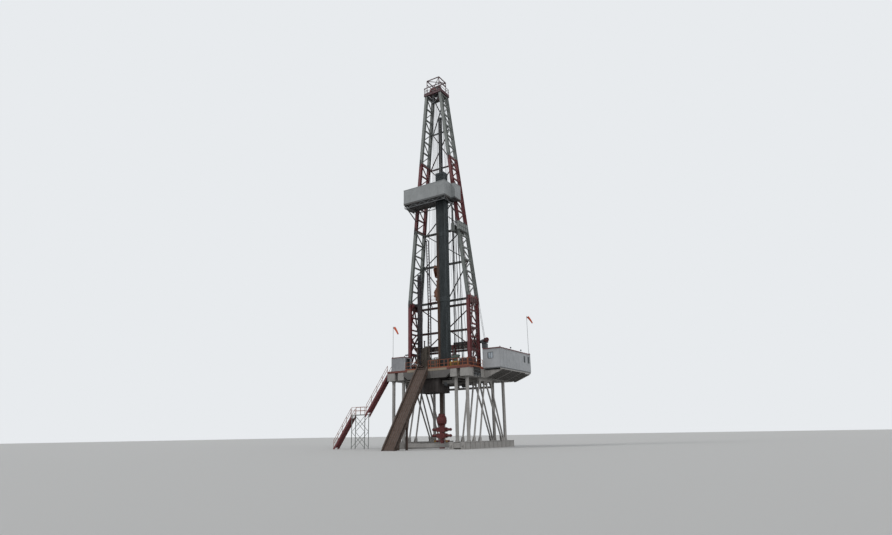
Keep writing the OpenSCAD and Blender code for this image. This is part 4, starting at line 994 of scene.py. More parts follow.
def hoist_post_details():
    """Drum, motor, gear case and rope of the small hoist on its post, with its ropes up to the mast."""
    low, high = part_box("hoist_post")
    hub = Vector(((low.x + high.x) / 2, (low.y + high.y) / 2, high.z - 0.030))
    x, y, z = hub
    discs, body, rope = new_meshes(3)
    for side in SIDES:
        add_pin(discs, hub, (side, 0, 0), 0.018, 0.021, 0.037, 28)
        add_bolt_circle(discs, hub + Vector((side * 0.021, 0, 0)), (side, 0, 0), 0.024, 8, 0.002, 0.002)
        add_box(body, near(x + side * 0.0225, 0.0015), near(y, 0.018), (z - 0.028, z + 0.006))
    add_box(body, (x - 0.058, x - 0.025), near(y, 0.026), (z - 0.046, z + 0.016))
    motor = hub - lift(0.012)
    add_pin(body, motor, (-1, 0, 0), 0.090, 0.058, 0.020, 24)
    for i in range(5):
        add_pin(body, motor, (-1, 0, 0), 0.086 - i * 0.006, 0.083 - i * 0.006, 0.0225, 24)
    add_box(body, (x - 0.058, x + 0.018), near(y, 0.022), (z - 0.110, z - 0.046))
    add_bar(body, (x - 0.050, y, z - 0.108), (x - 0.004, y, z - 0.200), 0.012)
    for i in range(9):
        add_ring(rope, (x - 0.015 + i * 0.0037, y, z), (1, 0, 0), 0.0312, 0.0018, 24, 6)
    face = hub + Vector((0.030, -0.036, 0.004))
    add_pin(discs, face, (0, 1, 0), 0, 0.012, 0.032, 28)
    add_pin(body, face, (0, 1, 0), -0.008, 0.036, 0.010, 20)
    add_bolt_circle(discs, face, (0, -1, 0), 0.022, 8, 0.0022, 0.002)
    add_box(body, near(x, 0.030), near(y, 0.030), (DECK, DECK + 0.004))
    for dx in (-0.008, 0.008):
        add_rod(rope, (x + dx, y - 0.031, z), (0.540 + dx, 0.180, KINK - 0.03), 0.0022, 8)
    finish_piece(discs, "post_hoist_drum", STACK, bevel=0.0008)
    finish_piece(body, "post_hoist_frame", GREY, bevel=0.0012)
    finish_piece(rope, "post_hoist_rope", ROPE, smooth=True)


# Houses

def house_trim():
    """Corner posts, rails and panel seams on the doghouse and the tool house."""
    bm = bmesh.new()
    rail_t, seam_t = 0.0035, 0.0015
    # The walls of each house, the pitch of its seams, and its side away from the drill floor
    for name, pitch, away in (("doghouse_walls", 0.098, 1), ("tool_house_walls", 0.075, -1)):
        low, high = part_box(name)
        rails = (low.z + 0.004, high.z - 0.004)
        for x in (low.x, high.x):
            for y in (low.y, high.y):
                add_box(bm, near(x, 0.004), near(y, 0.004), (low.z, high.z))
        for y, out in ((low.y, -1), (high.y, 1)):
            for z in rails:
                add_box(bm, (low.x, high.x), (y, y + out * rail_t), near(z, 0.004))
        for x, out in ((low.x, -1), (high.x, 1)):
            # The doorway's side has no low rail
            for z in rails if out == away else rails[1:]:
                add_box(bm, (x, x + out * rail_t), (low.y, high.y), near(z, 0.004))
        wall = high.x if away > 0 else low.x
        for y in spaced(low.y, high.y, round((high.y - low.y) / pitch) + 1)[1:-1]:
            add_box(bm, (wall, wall + away * seam_t), near(y, 0.0012), (low.z, high.z))
    finish_piece(bm, "house_trim", HOUSE, bevel=0.0006)


def house_windows():
    """Frames and glass of the doghouse windows, frames of both doorways."""
    frames, panes, bright = new_meshes(3)
    low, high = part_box("doghouse_walls")
    wall = 0.006
    inner = [((low.x, low.y + y, low.z + 0.100), (low.x + wall, low.y + y + 0.150, low.z + 0.190), 0)
             for y in (0.09, 0.30)]
    front = [((low.x + 0.082, low.y, low.z + 0.128), (low.x + 0.152, low.y + wall, low.z + 0.205), 1)]
    outer = [((high.x - wall, low.y + y, low.z + 0.130), (high.x, low.y + y + 0.036, low.z + 0.215), 0)
             for y in (0.76, 0.90)]
    for a, b, axis in inner + front + outer:
        add_frame(frames, a, b, axis, 0.005, wall + 0.006)
        middle = (a[axis] + b[axis]) / 2
        pane = list(zip(a, b))
        pane[axis] = near(middle, 0.001)
        add_box(bright if axis == 1 else panes, *pane)
        run = 1 - axis
        if b[run] - a[run] > 0.06:
            mullion = list(zip(a, b))
            mullion[run] = near((a[run] + b[run]) / 2, 0.002)
            mullion[axis] = near(middle, 0.003)
            add_box(frames, *mullion)
    tool_low, tool_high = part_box("tool_house_walls")
    # Each doorway: the two faces of its wall, its two jambs, sill and head
    for xs, (y0, y1), sill, head in (
            ((low.x, low.x + wall), (low.y + 0.560, low.y + 0.650), low.z, low.z + 0.210),
            ((tool_high.x - wall, tool_high.x), (tool_low.y + 0.040, tool_low.y + 0.120), tool_low.z,
             tool_low.z + 0.172)):
        proud = (xs[0] - 0.003, xs[1] + 0.003)
        for y in (y0 - 0.003, y1 + 0.003):
            add_box(frames, proud, near(y, 0.003), (sill, head + 0.006))
        add_box(frames, proud, (y0, y1), (head, head + 0.006))
    finish_piece(frames, "window_frames", GREY, bevel=0.0006)
    finish_piece(panes, "window_glass", GLASS)
    # The front window's glass is painted pale as a reflection of the sky
    finish_piece(bright, "front_window_glass", SKY_REFLECTION_GLASS)


def house_roofs():
    """Roof ribs and lugs of both houses, flood lights on the doghouse."""
    ribs, posts = new_meshes(2)
    for name in ("doghouse_roof", "tool_house_roof"):
        low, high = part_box(name)
        for y in spaced(low.y + 0.006, high.y - 0.006, round((high.y - low.y) / 0.1) + 1):
            add_box(ribs, (low.x, high.x), near(y, 0.003), (high.z, high.z + 0.003))
        for x in (low.x + 0.012, high.x - 0.012):
            for y in (low.y + 0.012, high.y - 0.012):
                add_box(ribs, near(x, 0.006), near(y, 0.002), (high.z, high.z + 0.014))
    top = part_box("doghouse_roof")[1].z
    spots = ((0.915, 0.400), (0.915, 0.740))
    for spot in spots:
        add_rod(posts, (*spot, top), (*spot, top + 0.026), 0.0022, 8)
    finish_piece(ribs, "roof_ribs", ROOF)
    finish_piece(posts, "roof_lamp_posts", GREY)
    flood_lights("roof_lamps", [(*spot, top + 0.030) for spot in spots], (1, -0.3, -0.5))


def bracket_plates():
    """Flange strips and ribs of the doghouse brackets, and the pan under the doghouse with its stiffeners."""
    plates, pan = new_meshes(2)
    low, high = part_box("doghouse_brackets")
    top, run = high.z - 0.0163, 0.228
    inner, tip = (low.x + 0.030, GIRDER_LOW), (high.x - 0.008, top - 0.010)
    y0, y1 = low.y + 0.030, high.y - 0.030
    for y in spaced(y0, y1, 4):
        for (ax, az), (bx, bz) in (((low.x, GIRDER_LOW), inner), (inner, tip)):
            add_bar(plates, (ax, y, az), (bx, y, bz), 0.022, 0.003)
        for x in (low.x + 0.09, low.x + 0.17):
            z = mix(GIRDER_LOW, tip[1], (x - inner[0]) / run)
            add_box(plates, near(x, 0.0015), near(y, 0.010), (z, top))
    corners = ((inner, y0), (tip, y0), (tip, y1), (inner, y1))
    add_plate(pan, [(x, y, z + 0.004) for (x, z), y in corners], (0, 0, 0.002))
    for y in spaced(y0 + 0.03, y1 - 0.03, 13):
        add_bar(pan, (inner[0], y, inner[1] + 0.001), (tip[0], y, tip[1] + 0.001), 0.006, 0.006)
    finish_piece(plates, "bracket_plates", PALE)
    finish_piece(pan, "doghouse_underside", MID_GREY)


# Crown

def crown_details():
    """Walkway grating, kick plates, ribs and line pulleys of the crown."""
    half_x, half_y = 0.162, 0.127
    walk, kick, gear = new_meshes(3)
    for side in SIDES:
        side_x, side_y = side * half_x, side * half_y
        for x in spaced(0.086, half_x - 0.004, 11):
            add_box(walk, near(side * x, 0.0012), near(0, half_y - 0.004), (CROWN, CROWN + 0.004))
        for y in spaced(-half_y + 0.006, half_y - 0.006, 12):
            add_box(walk, (side * 0.084, side * (half_x - 0.002)), near(y, 0.001), (CROWN, CROWN + 0.003))
        add_box(kick, near(0, half_x - 0.006), near(side * 0.121, 0.001), (CROWN, CROWN + 0.016))
        add_box(kick, near(side * 0.156, 0.001), near(0, 0.121), (CROWN, CROWN + 0.016))
        for flange in (MAST_TOP + 0.003, CROWN - 0.003):
            add_box(kick, near(0, half_x + 0.004), near(side_y, 0.002), near(flange, 0.003))
            add_box(kick, near(side_x, 0.002), near(0, half_y + 0.002), near(flange, 0.003))
        for x in spaced(-half_x + 0.01, half_x - 0.01, 7):
            add_box(kick, near(x, 0.002), near(side_y, 0.003), (MAST_TOP, CROWN))
        for y in spaced(-half_y + 0.01, half_y - 0.01, 5):
            add_box(kick, near(side_x, 0.003), near(y, 0.002), (MAST_TOP, CROWN))
        for y in (-0.06, 0.06):
            hub = Vector((side * 0.104, y, MAST_TOP - 0.016))
            add_pin(gear, hub, (1, 0, 0), -0.004, 0.004, 0.013, 24)
            add_ring(gear, hub, (1, 0, 0), 0.014, 0.002, 24)
            for x in near(hub.x, 0.006):
                add_box(gear, near(x, 0.0012), near(hub.y, 0.006), (hub.z - 0.012, MAST_TOP))
        add_bolt_circle(gear, (side * 0.081, 0, SHEAVE_Z), (side, 0, 0), 0.006, 6, 0.0014, 0.002)
        add_pin(gear, (0, 0, SHEAVE_Z), (side, 0, 0), 0.0785, 0.0845, 0.013, 20)
    boom_end = Vector((-0.220, -0.025, 5.690))
    add_pin(gear, boom_end, (0, 1, 0), -0.004, 0.004, 0.010, 20)
    add_ring(gear, boom_end, (0, 1, 0), 0.010, 0.002, 20)
    add_pin(gear, boom_end, (0, 0, 1), 0.004, 0.014, 0.002, 8)
    finish_piece(walk, "crown_grating", GREY)
    finish_piece(kick, "crown_plates", CROWN_RED)
    finish_piece(gear, "crown_pulleys", STEEL)


def crown_top():
    """Arches over the sheaves and the lamp on the crown."""
    arch, lamp = new_meshes(2)
    for y in (-0.112, 0.112):
        add_hoop(arch, (0, y, CROWN + 0.004), 0.044, (1, 0, 0), -math.pi, 0.020, 0.020, 20, (0, 1, 0))
        add_box(arch, near(0, 0.066), near(y, 0.010), (CROWN, CROWN + 0.014))
    x, y, z = 0.108, 0.098, 5.756
    add_rod(lamp, (x, y, z - 0.008), (x, y, z), 0.006, 12)
    add_rod(lamp, (x, y, z), (x, y, z + 0.010), 0.0045, 12, 0.003)
    finish_piece(arch, "crown_arches", MAROON)
    finish_piece(lamp, "crown_lamp", ORANGE, bevel=0.0006)


# Racking board

wall_low, wall_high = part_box("wind_walls")
BOARD_HALF = 0.365
BOARD_FRONT = wall_low.y
BOARD_LOW = BOARD - 0.022
WALL_TOP = wall_high.z
WING_X = wall_high.x
WING_FRONT, WING_REAR = -0.220, wall_high.y


def board_floor():
    """Walkway planks of the racking board and the latches of its fingers."""
    planks, latches = new_meshes(2)
    rows, row_pitch, first_row = 6, 0.0205, -0.265
    # Levels of the racked pipe's rows, half a pitch before each and after the last
    ys = [first_row + (j - 0.5) * row_pitch for j in range(rows + 1)]
    walks = ((-0.343, -0.048), (0.048, 0.343))
    plank_z = (BOARD - 0.012, BOARD - 0.008)
    for y in (-0.380, -0.359, -0.338, -0.317, -0.296):
        for xs in walks:
            add_box(planks, xs, near(y, 0.0095), plank_z)
    for xs in walks:
        add_box(planks, xs, (ys[-1] + 0.006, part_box("racking_board")[1].y - 0.060), plank_z)
    for i in range(6):
        x = -0.335 + i * 0.048
        add_box(planks, (x, x + 0.030), (-0.272, ys[-1]), (BOARD - 0.013, BOARD - 0.009))
    for side in SIDES:
        for y in ys:
            for i in range(9):
                add_box(latches, near(side * (0.060 + i * 0.034), 0.003), near(y, 0.004), near(BOARD, 0.004))
    finish_piece(planks, "board_planks", BOARD_PLATE)
    finish_piece(latches, "finger_latches", ORANGE)


def board_truss():
    """Trusses under the racking board's front and along its middle, joined at their ends."""
    bm = bmesh.new()
    bar, count, low = 0.006, 9, BOARD_LOW - 0.052
    front, middle = BOARD_FRONT + 0.012, -0.118
    for y, reach in ((front, BOARD_HALF - 0.012), (middle, BOARD_HALF - 0.022)):
        add_bar(bm, (-reach, y, low), (reach, y, low), bar * 1.3)
        xs = spaced(-reach, reach, count + 1)
        for i, (a, b) in enumerate(zip(xs, xs[1:])):
            za, zb = (low, BOARD_LOW) if i % 2 else (BOARD_LOW, low)
            add_bar(bm, (a, y, za), (b, y, zb), bar)
        for x in (-reach, reach):
            add_bar(bm, (x, y, low), (x, y, BOARD_LOW), bar)
    for side in SIDES:
        x = side * (BOARD_HALF - 0.012)
        add_bar(bm, (x, front, low), (x, middle, low), bar)
    finish_piece(bm, "board_truss", GREY)


def wall_ribs():
    """Frames behind the wind walls, edge channels and panel joints on their faces."""
    ribs, trim = new_meshes(2)
    wall_t, rib, edge = 0.006, 0.008, 0.0025
    z0, z1 = BOARD, WALL_TOP
    levels = (z0 + 0.010, (z0 + z1) / 2, z1 - 0.006)
    inner, wing = BOARD_HALF - wall_t, WING_X - wall_t
    behind = (BOARD_FRONT + wall_t, BOARD_FRONT + wall_t + rib)
    for x in spaced(-inner + 0.004, inner - 0.004, 11):
        add_box(ribs, near(x, 0.003), behind, (z0, z1))
    for z in levels:
        add_box(ribs, near(0, inner), behind, near(z, 0.003))
    for side in SIDES:
        flank, wing_xs = [(side * x, side * (x - rib)) for x in (inner, wing)]
        for z in levels:
            add_box(ribs, flank, (BOARD_FRONT + wall_t, WING_FRONT), near(z, 0.003))
            add_box(ribs, wing_xs, (WING_FRONT + wall_t, WING_REAR), near(z, 0.003))
        for xs, y in ((flank, BOARD_FRONT + 0.06), (flank, BOARD_FRONT + 0.12), (wing_xs, WING_FRONT + 0.05),
                      (wing_xs, WING_REAR - 0.004)):
            add_box(ribs, xs, near(y, 0.003), (z0, z1))
    for zs in ((z0, z0 + 0.008), (z1 - 0.008, z1)):
        add_box(trim, near(0, BOARD_HALF + edge), (BOARD_FRONT - edge, BOARD_FRONT), zs)
        for side in SIDES:
            add_box(trim, (side * BOARD_HALF, side * (BOARD_HALF + edge)), (BOARD_FRONT, WING_FRONT), zs)
            add_box(trim, (side * BOARD_HALF, side * (WING_X + edge)), (WING_FRONT - edge, WING_FRONT), zs)
            add_box(trim, (side * WING_X, side * (WING_X + edge)), (WING_FRONT, WING_REAR), zs)
    for x in spaced(-BOARD_HALF, BOARD_HALF, 7)[1:-1]:
        add_box(trim, near(x, 0.0012), (BOARD_FRONT - 0.0012, BOARD_FRONT), (z0, z1))
    finish_piece(ribs, "wind_wall_ribs", GREY)
    finish_piece(trim, "wind_wall_trim", OFF_WHITE, bevel=0.0005)


# Mast fittings

STANDPIPE_XS = (-0.330, -0.295)


def kink_plates():
    """Deep plates that join the mast's upright part to its tapered part, inside each side."""
    plates, bolts = new_meshes(2)
    plate_t = 0.003
    for side, rear in LEGS:
        inward = -1 if rear else 1
        at = chord_point(side, rear, KINK)
        near_y, far_y = at.y + inward * 0.018, at.y + inward * 0.085
        outline = ((near_y, KINK - 0.075), (far_y, KINK - 0.030), (far_y, KINK + 0.004),
                   (near_y, KINK + 0.050))
        for off in (GIRT / 2 + 0.0005, -GIRT / 2 - 0.0035):
            add_plate(plates, [(at.x + side * off, y, z) for y, z in outline], (plate_t, 0, 0))
        for i in range(4):
            for j in range(2):
                spot = (at.x + side * (GIRT / 2 + 0.0035), at.y + inward * (0.030 + 0.018 * j),
                        KINK - 0.046 + 0.018 * i)
                add_bolt(bolts, spot, (side, 0, 0))
    finish_piece(plates, "kink_plates", MAROON)
    finish_piece(bolts, "kink_bolts", STEEL)


def lower_side_bracing():
    """Heavy inverted V and cross members, deep web plate and foot gussets on the mast's lower sides."""
    heavy, webs = new_meshes(2)
    front, rear = FOOT_FRONT + 0.020, FOOT_REAR - 0.020
    middle = (front + rear) / 2
    web_z = (1.985, 2.062)
    braces = (((middle - 0.012, web_z[0]), (front, 1.640)), ((middle + 0.012, web_z[0]), (rear, 1.640)),
              ((front, 1.615), (rear, 1.345)), ((rear, 1.615), (front, 1.345)),
              ((middle - 0.010, 1.320), (front, 1.130)), ((middle + 0.010, 1.320), (rear, 1.130)))
    for side in SIDES:
        x = side * (FOOT_X + 0.0125)
        for a, b in braces:
            add_bar(heavy, (x, *a), (x, *b), 0.004, 0.032)
        for z in (1.628, 1.332):
            add_bar(heavy, (x, front, z), (x, rear, z), 0.005, 0.026)
        add_box(webs, near(x, 0.003), (front, rear), web_z)
        for y in (front + 0.045, middle, rear - 0.045):
            add_box(webs, near(x, 0.006), near(y, 0.003), web_z)
        for y, inward in ((FOOT_FRONT, 1), (FOOT_REAR, -1)):
            for out in SIDES:
                foot_x = side * FOOT_X + out * 0.0225
                gusset = ((foot_x, 0.070), (foot_x + out * 0.030, 0.008), (foot_x, 0.008))
                add_plate(heavy, [(gx, y - 0.002, DECK + gz) for gx, gz in gusset], (0, 0.004, 0))
            gusset = ((0.023, 0.090), (0.060, 0.008), (0.023, 0.008))
            add_plate(heavy, [(side * FOOT_X - 0.002, y + inward * gy, DECK + gz) for gy, gz in gusset],
                      (0.004, 0, 0))
    # The heavy bracing and its webs take maroon darkened as painted shade
    finish_piece(heavy, "lower_side_bracing", DARK_RED_AND_SHADE)
    finish_piece(webs, "knee_webs", DARK_RED_AND_SHADE)


def rear_walkway():
    """Lattice beam between the mast's rear legs, with its grating, kick plate and cable duct."""
    beam, walk, plate, duct = new_meshes(4)
    y0, y1, z0, z1 = 0.234, 0.262, 1.378, 1.438
    reach = FOOT_X - 0.016
    xs = spaced(-reach, reach, 17)
    for y in (y0, y1):
        for z in (z0, z1):
            add_bar(beam, (-reach, y, z), (reach, y, z), 0.008, 0.010)
        for i, (a, b) in enumerate(zip(xs, xs[1:])):
            za, zb = (z0, z1) if i % 2 else (z1, z0)
            add_bar(beam, (a, y, za), (b, y, zb), 0.006)
    for x in spaced(-reach, reach, 49):
        add_box(walk, near(x, 0.0015), (y0, y1), (z1 + 0.004, z1 + 0.008))
    for y in (y0, (y0 + y1) / 2, y1):
        add_box(walk, (-reach, reach), near(y, 0.0015), (z1 + 0.004, z1 + 0.008))
    kick_z = (z0 + 0.004, z1 - 0.006)
    add_box(plate, near(0, reach - 0.010), (y0 + 0.006, y0 + 0.008), kick_z)
    for x in spaced(-reach + 0.02, reach - 0.02, 15):
        add_box(plate, near(x, 0.002), (y0 + 0.003, y0 + 0.006), kick_z)
    add_box(duct, (0.075, reach - 0.004), (y0 + 0.002, y1 - 0.002), (z1 + 0.008, z1 + 0.038))
    for x in spaced(0.085, reach - 0.014, 9):
        add_box(duct, near(x, 0.003), (y0, y1), (z1 + 0.008, z1 + 0.041))
    # The walkway beam takes maroon darkened as painted shade
    finish_piece(beam, "rear_walkway_beam", DARK_RED_AND_SHADE)
    finish_piece(plate, "rear_walkway_kick_plate", MID_GREY)
    finish_piece(duct, "cable_duct", DARK_PAINT_AND_SHADE, bevel=0.001)
    finish_piece(walk, "rear_walkway_grating", GREY)


def rear_beam_flanges():
    """Flanges on the beams of the mast's rear and angle cleats where they meet its legs."""
    lower, upper = new_meshes(2)
    for band, shares, bm in ((0, (0.24, 0.55, 0.94), lower), (1, (0.022, 0.52, 0.98), upper)):
        for share in shares:
            z = mix(BANDS[band], BANDS[band + 1], share)
            y, reach = chord_y(z), chord_x(z + GIRT / 2) - CHORD / 2 - 0.002
            for flange in near(z, 0.0125):
                add_box(bm, (-reach, reach), near(y, 0.013), near(flange, 0.0025))
            for x in spaced(-reach + 0.01, reach - 0.01, 13):
                add_box(bm, near(x, 0.0015), near(y, 0.0125), near(z, 0.011))
    # The flanges take the dark paint as painted shade
    finish_piece(lower, "rear_beam_flanges_low", DARK_PAINT_AND_SHADE)
    finish_piece(upper, "rear_beam_flanges_high", DARK_PAINT_AND_SHADE)


def leg_cable_tray():
    """Wide cable tray up the inside of the mast's rear left leg."""
    lower, upper = new_meshes(2)
    half, lip, pitch = 0.0165, 0.003, 0.045

    def at(z, step=0.0):
        return Vector((-(chord_x(z) - CHORD / 2 - 0.019) + step, chord_y(z) - 0.0165, z))

    for bm, low, high in ((lower, DECK + 0.012, KINK), (upper, KINK, 2.70)):
        add_bar(bm, at(low), at(high), 0.034, lip)
        for edge in (-half, half):
            add_bar(bm, at(low, edge), at(high, edge), lip, 0.013)
        z = low + 0.02
        while z < high - 0.01:
            add_bar(bm, at(z, -0.017), at(z, 0.017), 0.004, 0.008)
            z += pitch
    finish_piece(lower, "leg_cable_tray_low", PIPEWORK)
    # The tray's upper length takes white mast paint darkened as painted shade
    finish_piece(upper, "leg_cable_tray_high", WHITE_IN_PAINTED_SHADE)


def standpipe_lagging():
    """Lagging with its bands round the foot of one standpipe."""
    bm = bmesh.new()
    for z in spaced(DECK + 0.020, KINK - 0.060, 17):
        foot = Vector((STANDPIPE_XS[0], chord_y(z) - 0.0195, z))
        add_rod(bm, foot, foot + lift(0.050), 0.0112, 18)
        add_rod(bm, foot, foot + lift(0.004), 0.0125, 18)
    finish_piece(bm, "standpipe_lagging", DARK_RED_AND_SHADE)


def floor_cabinets():
    """Control cabinets beside the well with two vent pipes, and a tool locker behind the front rail."""
    cabinets, trim, pipes = new_meshes(3)
    front, rear, vent_y = 0.072, 0.128, 0.110
    for x0, x1, tall in ((-0.445, -0.392, 0.392), (-0.388, -0.338, 0.356), (-0.334, -0.282, 0.384)):
        top = DECK + tall
        add_box(cabinets, (x0, x1), (front, rear), (DECK + 0.012, top))
        add_box(trim, (x0 + 0.003, x1 - 0.003), (front + 0.003, rear - 0.003), (DECK, DECK + 0.012))
        for z0, z1 in ((DECK + 0.020, DECK + 0.185), (DECK + 0.190, top - 0.008)):
            add_box(cabinets, (x0 + 0.004, x1 - 0.004), (front - 0.0025, front), (z0, z1))
            add_pin(trim, (x1 - 0.010, front, (z0 + z1) / 2), (0, 1, 0), -0.0055, -0.0025, 0.003, 12)
            for i in range(5):
                slot_z = near(z1 - 0.016 - i * 0.007, 0.001)
                add_box(trim, (x0 + 0.012, x1 - 0.018), (front - 0.0035, front - 0.0023), slot_z)
        add_box(cabinets, (x0 - 0.002, x1 + 0.002), (front - 0.004, rear + 0.002), (top, top + 0.004))
    for x, top in ((-0.418, DECK + 0.562), (-0.352, DECK + 0.470)):
        add_rod(pipes, (x, vent_y, DECK + 0.350), (x, vent_y, top), 0.0095, 16)
        add_rod(pipes, (x, vent_y, top), (x, vent_y, top + 0.008), 0.014, 16)
    x0, x1, y0, y1, z0, z1 = 0.040, 0.150, -0.334, -0.284, DECK + 0.006, DECK + 0.124
    add_box(cabinets, (x0, x1), (y0, y1), (z0, z1))
    add_box(cabinets, (x0 - 0.002, x1 + 0.002), (y0 - 0.002, y1 + 0.002), (z1, z1 + 0.004))
    add_box(trim, (x0 + 0.004, x1 - 0.004), (y0 + 0.004, y1 - 0.004), (DECK, z0))
    for x in (0.058, 0.095, 0.132):
        add_box(trim, near(x, 0.0012), (y0 - 0.0016, y0), (z0 + 0.006, z1 - 0.006))
        add_pin(trim, (x - 0.008, y0, z0 + 0.070), (0, 1, 0), -0.004, 0, 0.0025, 12)
    finish_piece(cabinets, "floor_cabinets", OLIVE, bevel=0.0012)
    finish_piece(trim, "floor_cabinet_trim", DARK_PAINT_AND_SHADE)
    finish_piece(pipes, "cabinet_vent_pipes", PIPEWORK)


def pipe_tray():
    """Tray behind the two standpipes, with its rungs and the manifold at their foot."""
    tray, valves, wheels = new_meshes(3)
    x0, x1, behind, pitch = STANDPIPE_XS[0] - 0.008, STANDPIPE_XS[1] + 0.008, 0.0145, 0.045
    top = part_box("standpipes")[1].z - 0.05
    for low, high in ((DECK + 0.02, KINK), (KINK, top)):
        for x in (x0, x1):
            add_bar(tray, (x, chord_y(low) - behind, low), (x, chord_y(high) - behind, high), 0.004, 0.010)
    z = DECK + 0.05
    while z < top:
        add_bar(tray, (x0, chord_y(z) - behind, z), (x1, chord_y(z) - behind, z), 0.003, 0.006)
        z += pitch
    y, wheel_y, wheel_r = 0.172, 0.138, 0.0125
    for z in (DECK + 0.060, DECK + 0.125):
        add_rod(valves, (-0.400, y, z), (-0.190, y, z), 0.0095, 16)
        for x in (-0.385, -0.345, -0.268, -0.225):
            add_pin(valves, (x, y, z), (1, 0, 0), -0.009, 0.009, 0.0150, 16)
            add_rod(valves, (x, y, z), (x, wheel_y, z), 0.0060, 12)
            add_ring(wheels, (x, wheel_y, z), (0, 1, 0), wheel_r, 0.0016, 18)
            add_bar(wheels, (x - wheel_r, wheel_y, z), (x + wheel_r, wheel_y, z), 0.0018)
    for x in (-0.395, -0.300, -0.205):
        add_rod(valves, (x, y, DECK), (x, y, DECK + 0.150), 0.0085, 16)
        add_box(valves, near(x, 0.016), near(y, 0.016), (DECK, DECK + 0.004))
    finish_piece(tray, "pipe_tray", PIPEWORK)
    finish_piece(valves, "standpipe_manifold", BROWN, bevel=0.0008)
    finish_piece(wheels, "manifold_wheels", YELLOW)


def foot_pins():
    """Pins, keepers and bolts of the mast's feet."""
    bm = bmesh.new()
    z = DECK + 0.032
    for side, rear in LEGS:
        at = chord_point(side, rear, MAST_BASE)
        for face in SIDES:
            end = at.x + face * 0.030
            add_pin(bm, (end, at.y, z), (face, 0, 0), 0, 0.008, 0.0115, 20)
            add_box(bm, (end, end + face * 0.004), near(at.y, 0.003), near(z, 0.020))
        for x in near(at.x, 0.028):
            for dy in (-0.028, -0.010, 0.010, 0.028):
                add_bolt(bm, (x, at.y + dy, DECK + 0.008), (0, 0, 1), 0.003, 0.003)
    finish_piece(bm, "mast_foot_pins", STEEL)


def platform_frames():
    """Ribs and rails on the two walls of the small platform by the ladder."""
    low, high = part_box("ladder_platform")
    bm = bmesh.new()
    # Each wall: its face, the way that it looks, where its ribs run, where its rails run, number of ribs
    for x, out, ribs, rails, count in ((high.x, 1, (-0.148, 0.093), (-0.150, 0.095), 5),
                                       (low.x, -1, (-0.118, 0.148), (-0.120, 0.150), 6)):
        for y in spaced(*ribs, count):
            add_box(bm, (x, x + out * 0.003), near(y, 0.002), (low.z, high.z))
        for z in (low.z + 0.003, (low.z + high.z) / 2, high.z - 0.003):
            add_box(bm, (x, x + out * 0.004), rails, near(z, 0.003))
    finish_piece(bm, "platform_frames", GREY)


def stabbing_board():
    """Small hinged working platform inside the mast's left side."""
    bm = bmesh.new()
    x0, x1, y0, y1, z = -0.26, -0.13, 0.090, 0.150, 2.090
    add_box(bm, (x0, x1), (y0, y1), (z, z + 0.005))
    for x in (x0, x1):
        for y in (y0, y1):
            add_bar(bm, (x, y, z), (x, y, z + 0.105), 0.004)
    for h in (0.050, 0.103):
        for a, b in (((x0, y0), (x1, y0)), ((x0, y1), (x1, y1)), ((x1, y0), (x1, y1))):
            add_bar(bm, (*a, z + h), (*b, z + h), 0.004)
    for x in (x0 + 0.01, x1 - 0.01):
        add_bar(bm, (x, y1, z), (x, 0.198, z - 0.085), 0.007)
        add_bar(bm, (x, y1 - 0.01, z - 0.004), (x, 0.205, z - 0.004), 0.007)
    finish_piece(bm, "stabbing_board", MAROON)


def trunk_lines():
    """Pipes and clamps on the upright service trunk."""
    low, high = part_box("service_trunk")
    x0, x1 = high.x - 0.046, high.x
    lines, clamps = new_meshes(2)
    for x, y in zip(spaced(x0 + 0.007, x1 - 0.007, 4), spaced(low.y + 0.006, high.y - 0.006, 4)):
        add_rod(lines, (x, low.y - 0.005, low.z + 0.02), (x, low.y - 0.005, high.z - 0.03), 0.0042, 10)
        add_rod(lines, (x1 + 0.004, y, low.z + 0.05), (x1 + 0.004, y, high.z - 0.10), 0.0032, 8)
    for z in spaced(low.z + 0.06, high.z - 0.06, 14):
        add_box(clamps, (x0 - 0.002, x1 + 0.002), (low.y - 0.0105, low.y), near(z, 0.004))
        add_box(clamps, (x1, x1 + 0.008), (low.y, high.y), near(z, 0.004))
    finish_piece(lines, "trunk_lines", PIPEWORK, smooth=True)
    finish_piece(clamps, "trunk_clamps", SLATE)


def standpipe_clamps():
    """Clamps that hold the pair of standpipes to the rear girts, and their flanges at the kink."""
    bm = bmesh.new()
    behind, pitch = 0.0171, 0.24
    bottom, top = (corner.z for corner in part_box("standpipes"))
    for x in STANDPIPE_XS:
        z = bottom + 0.10
        while z < top - 0.1:
            add_pin(bm, (x, chord_y(z) - behind, z), (0, 0, 1), -0.004, 0.004, 0.0088, 16)
            z += pitch
        for z in (KINK - 0.012, KINK + 0.008):
            add_pin(bm, (x, chord_y(KINK) - behind, z), (0, 0, 1), 0, 0.004, 0.0125, 20)
    finish_piece(bm, "standpipe_clamps", GREY)


def rail_joints():
    """Bolted joint plates along the guide rail, and the ribbed plate behind it."""
    low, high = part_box("guide_rail")
    joints, back = new_meshes(2)
    for z in spaced(low.z + 0.12, high.z - 0.12, 6):
        for side in SIDES:
            add_box(joints, (side * 0.018, side * 0.021), (low.y + 0.001, low.y + 0.013), near(z, 0.030))
            for dz in (-0.02, -0.007, 0.007, 0.02):
                add_bolt(joints, (side * 0.021, low.y + 0.007, z + dz), (side, 0, 0), 0.0018, 0.0015)
    y = low.y + 0.0152
    add_box(back, near(0, 0.036), (y, y + 0.0015), (low.z, high.z))
    for z in spaced(low.z + 0.02, high.z - 0.02, 60):
        add_box(back, near(0, 0.034), (y - 0.0008, y), near(z, 0.004))
    finish_piece(joints, "guide_rail_joints", STEEL)
    finish_piece(back, "guide_rail_back", SLATE)


# Hoisting gear

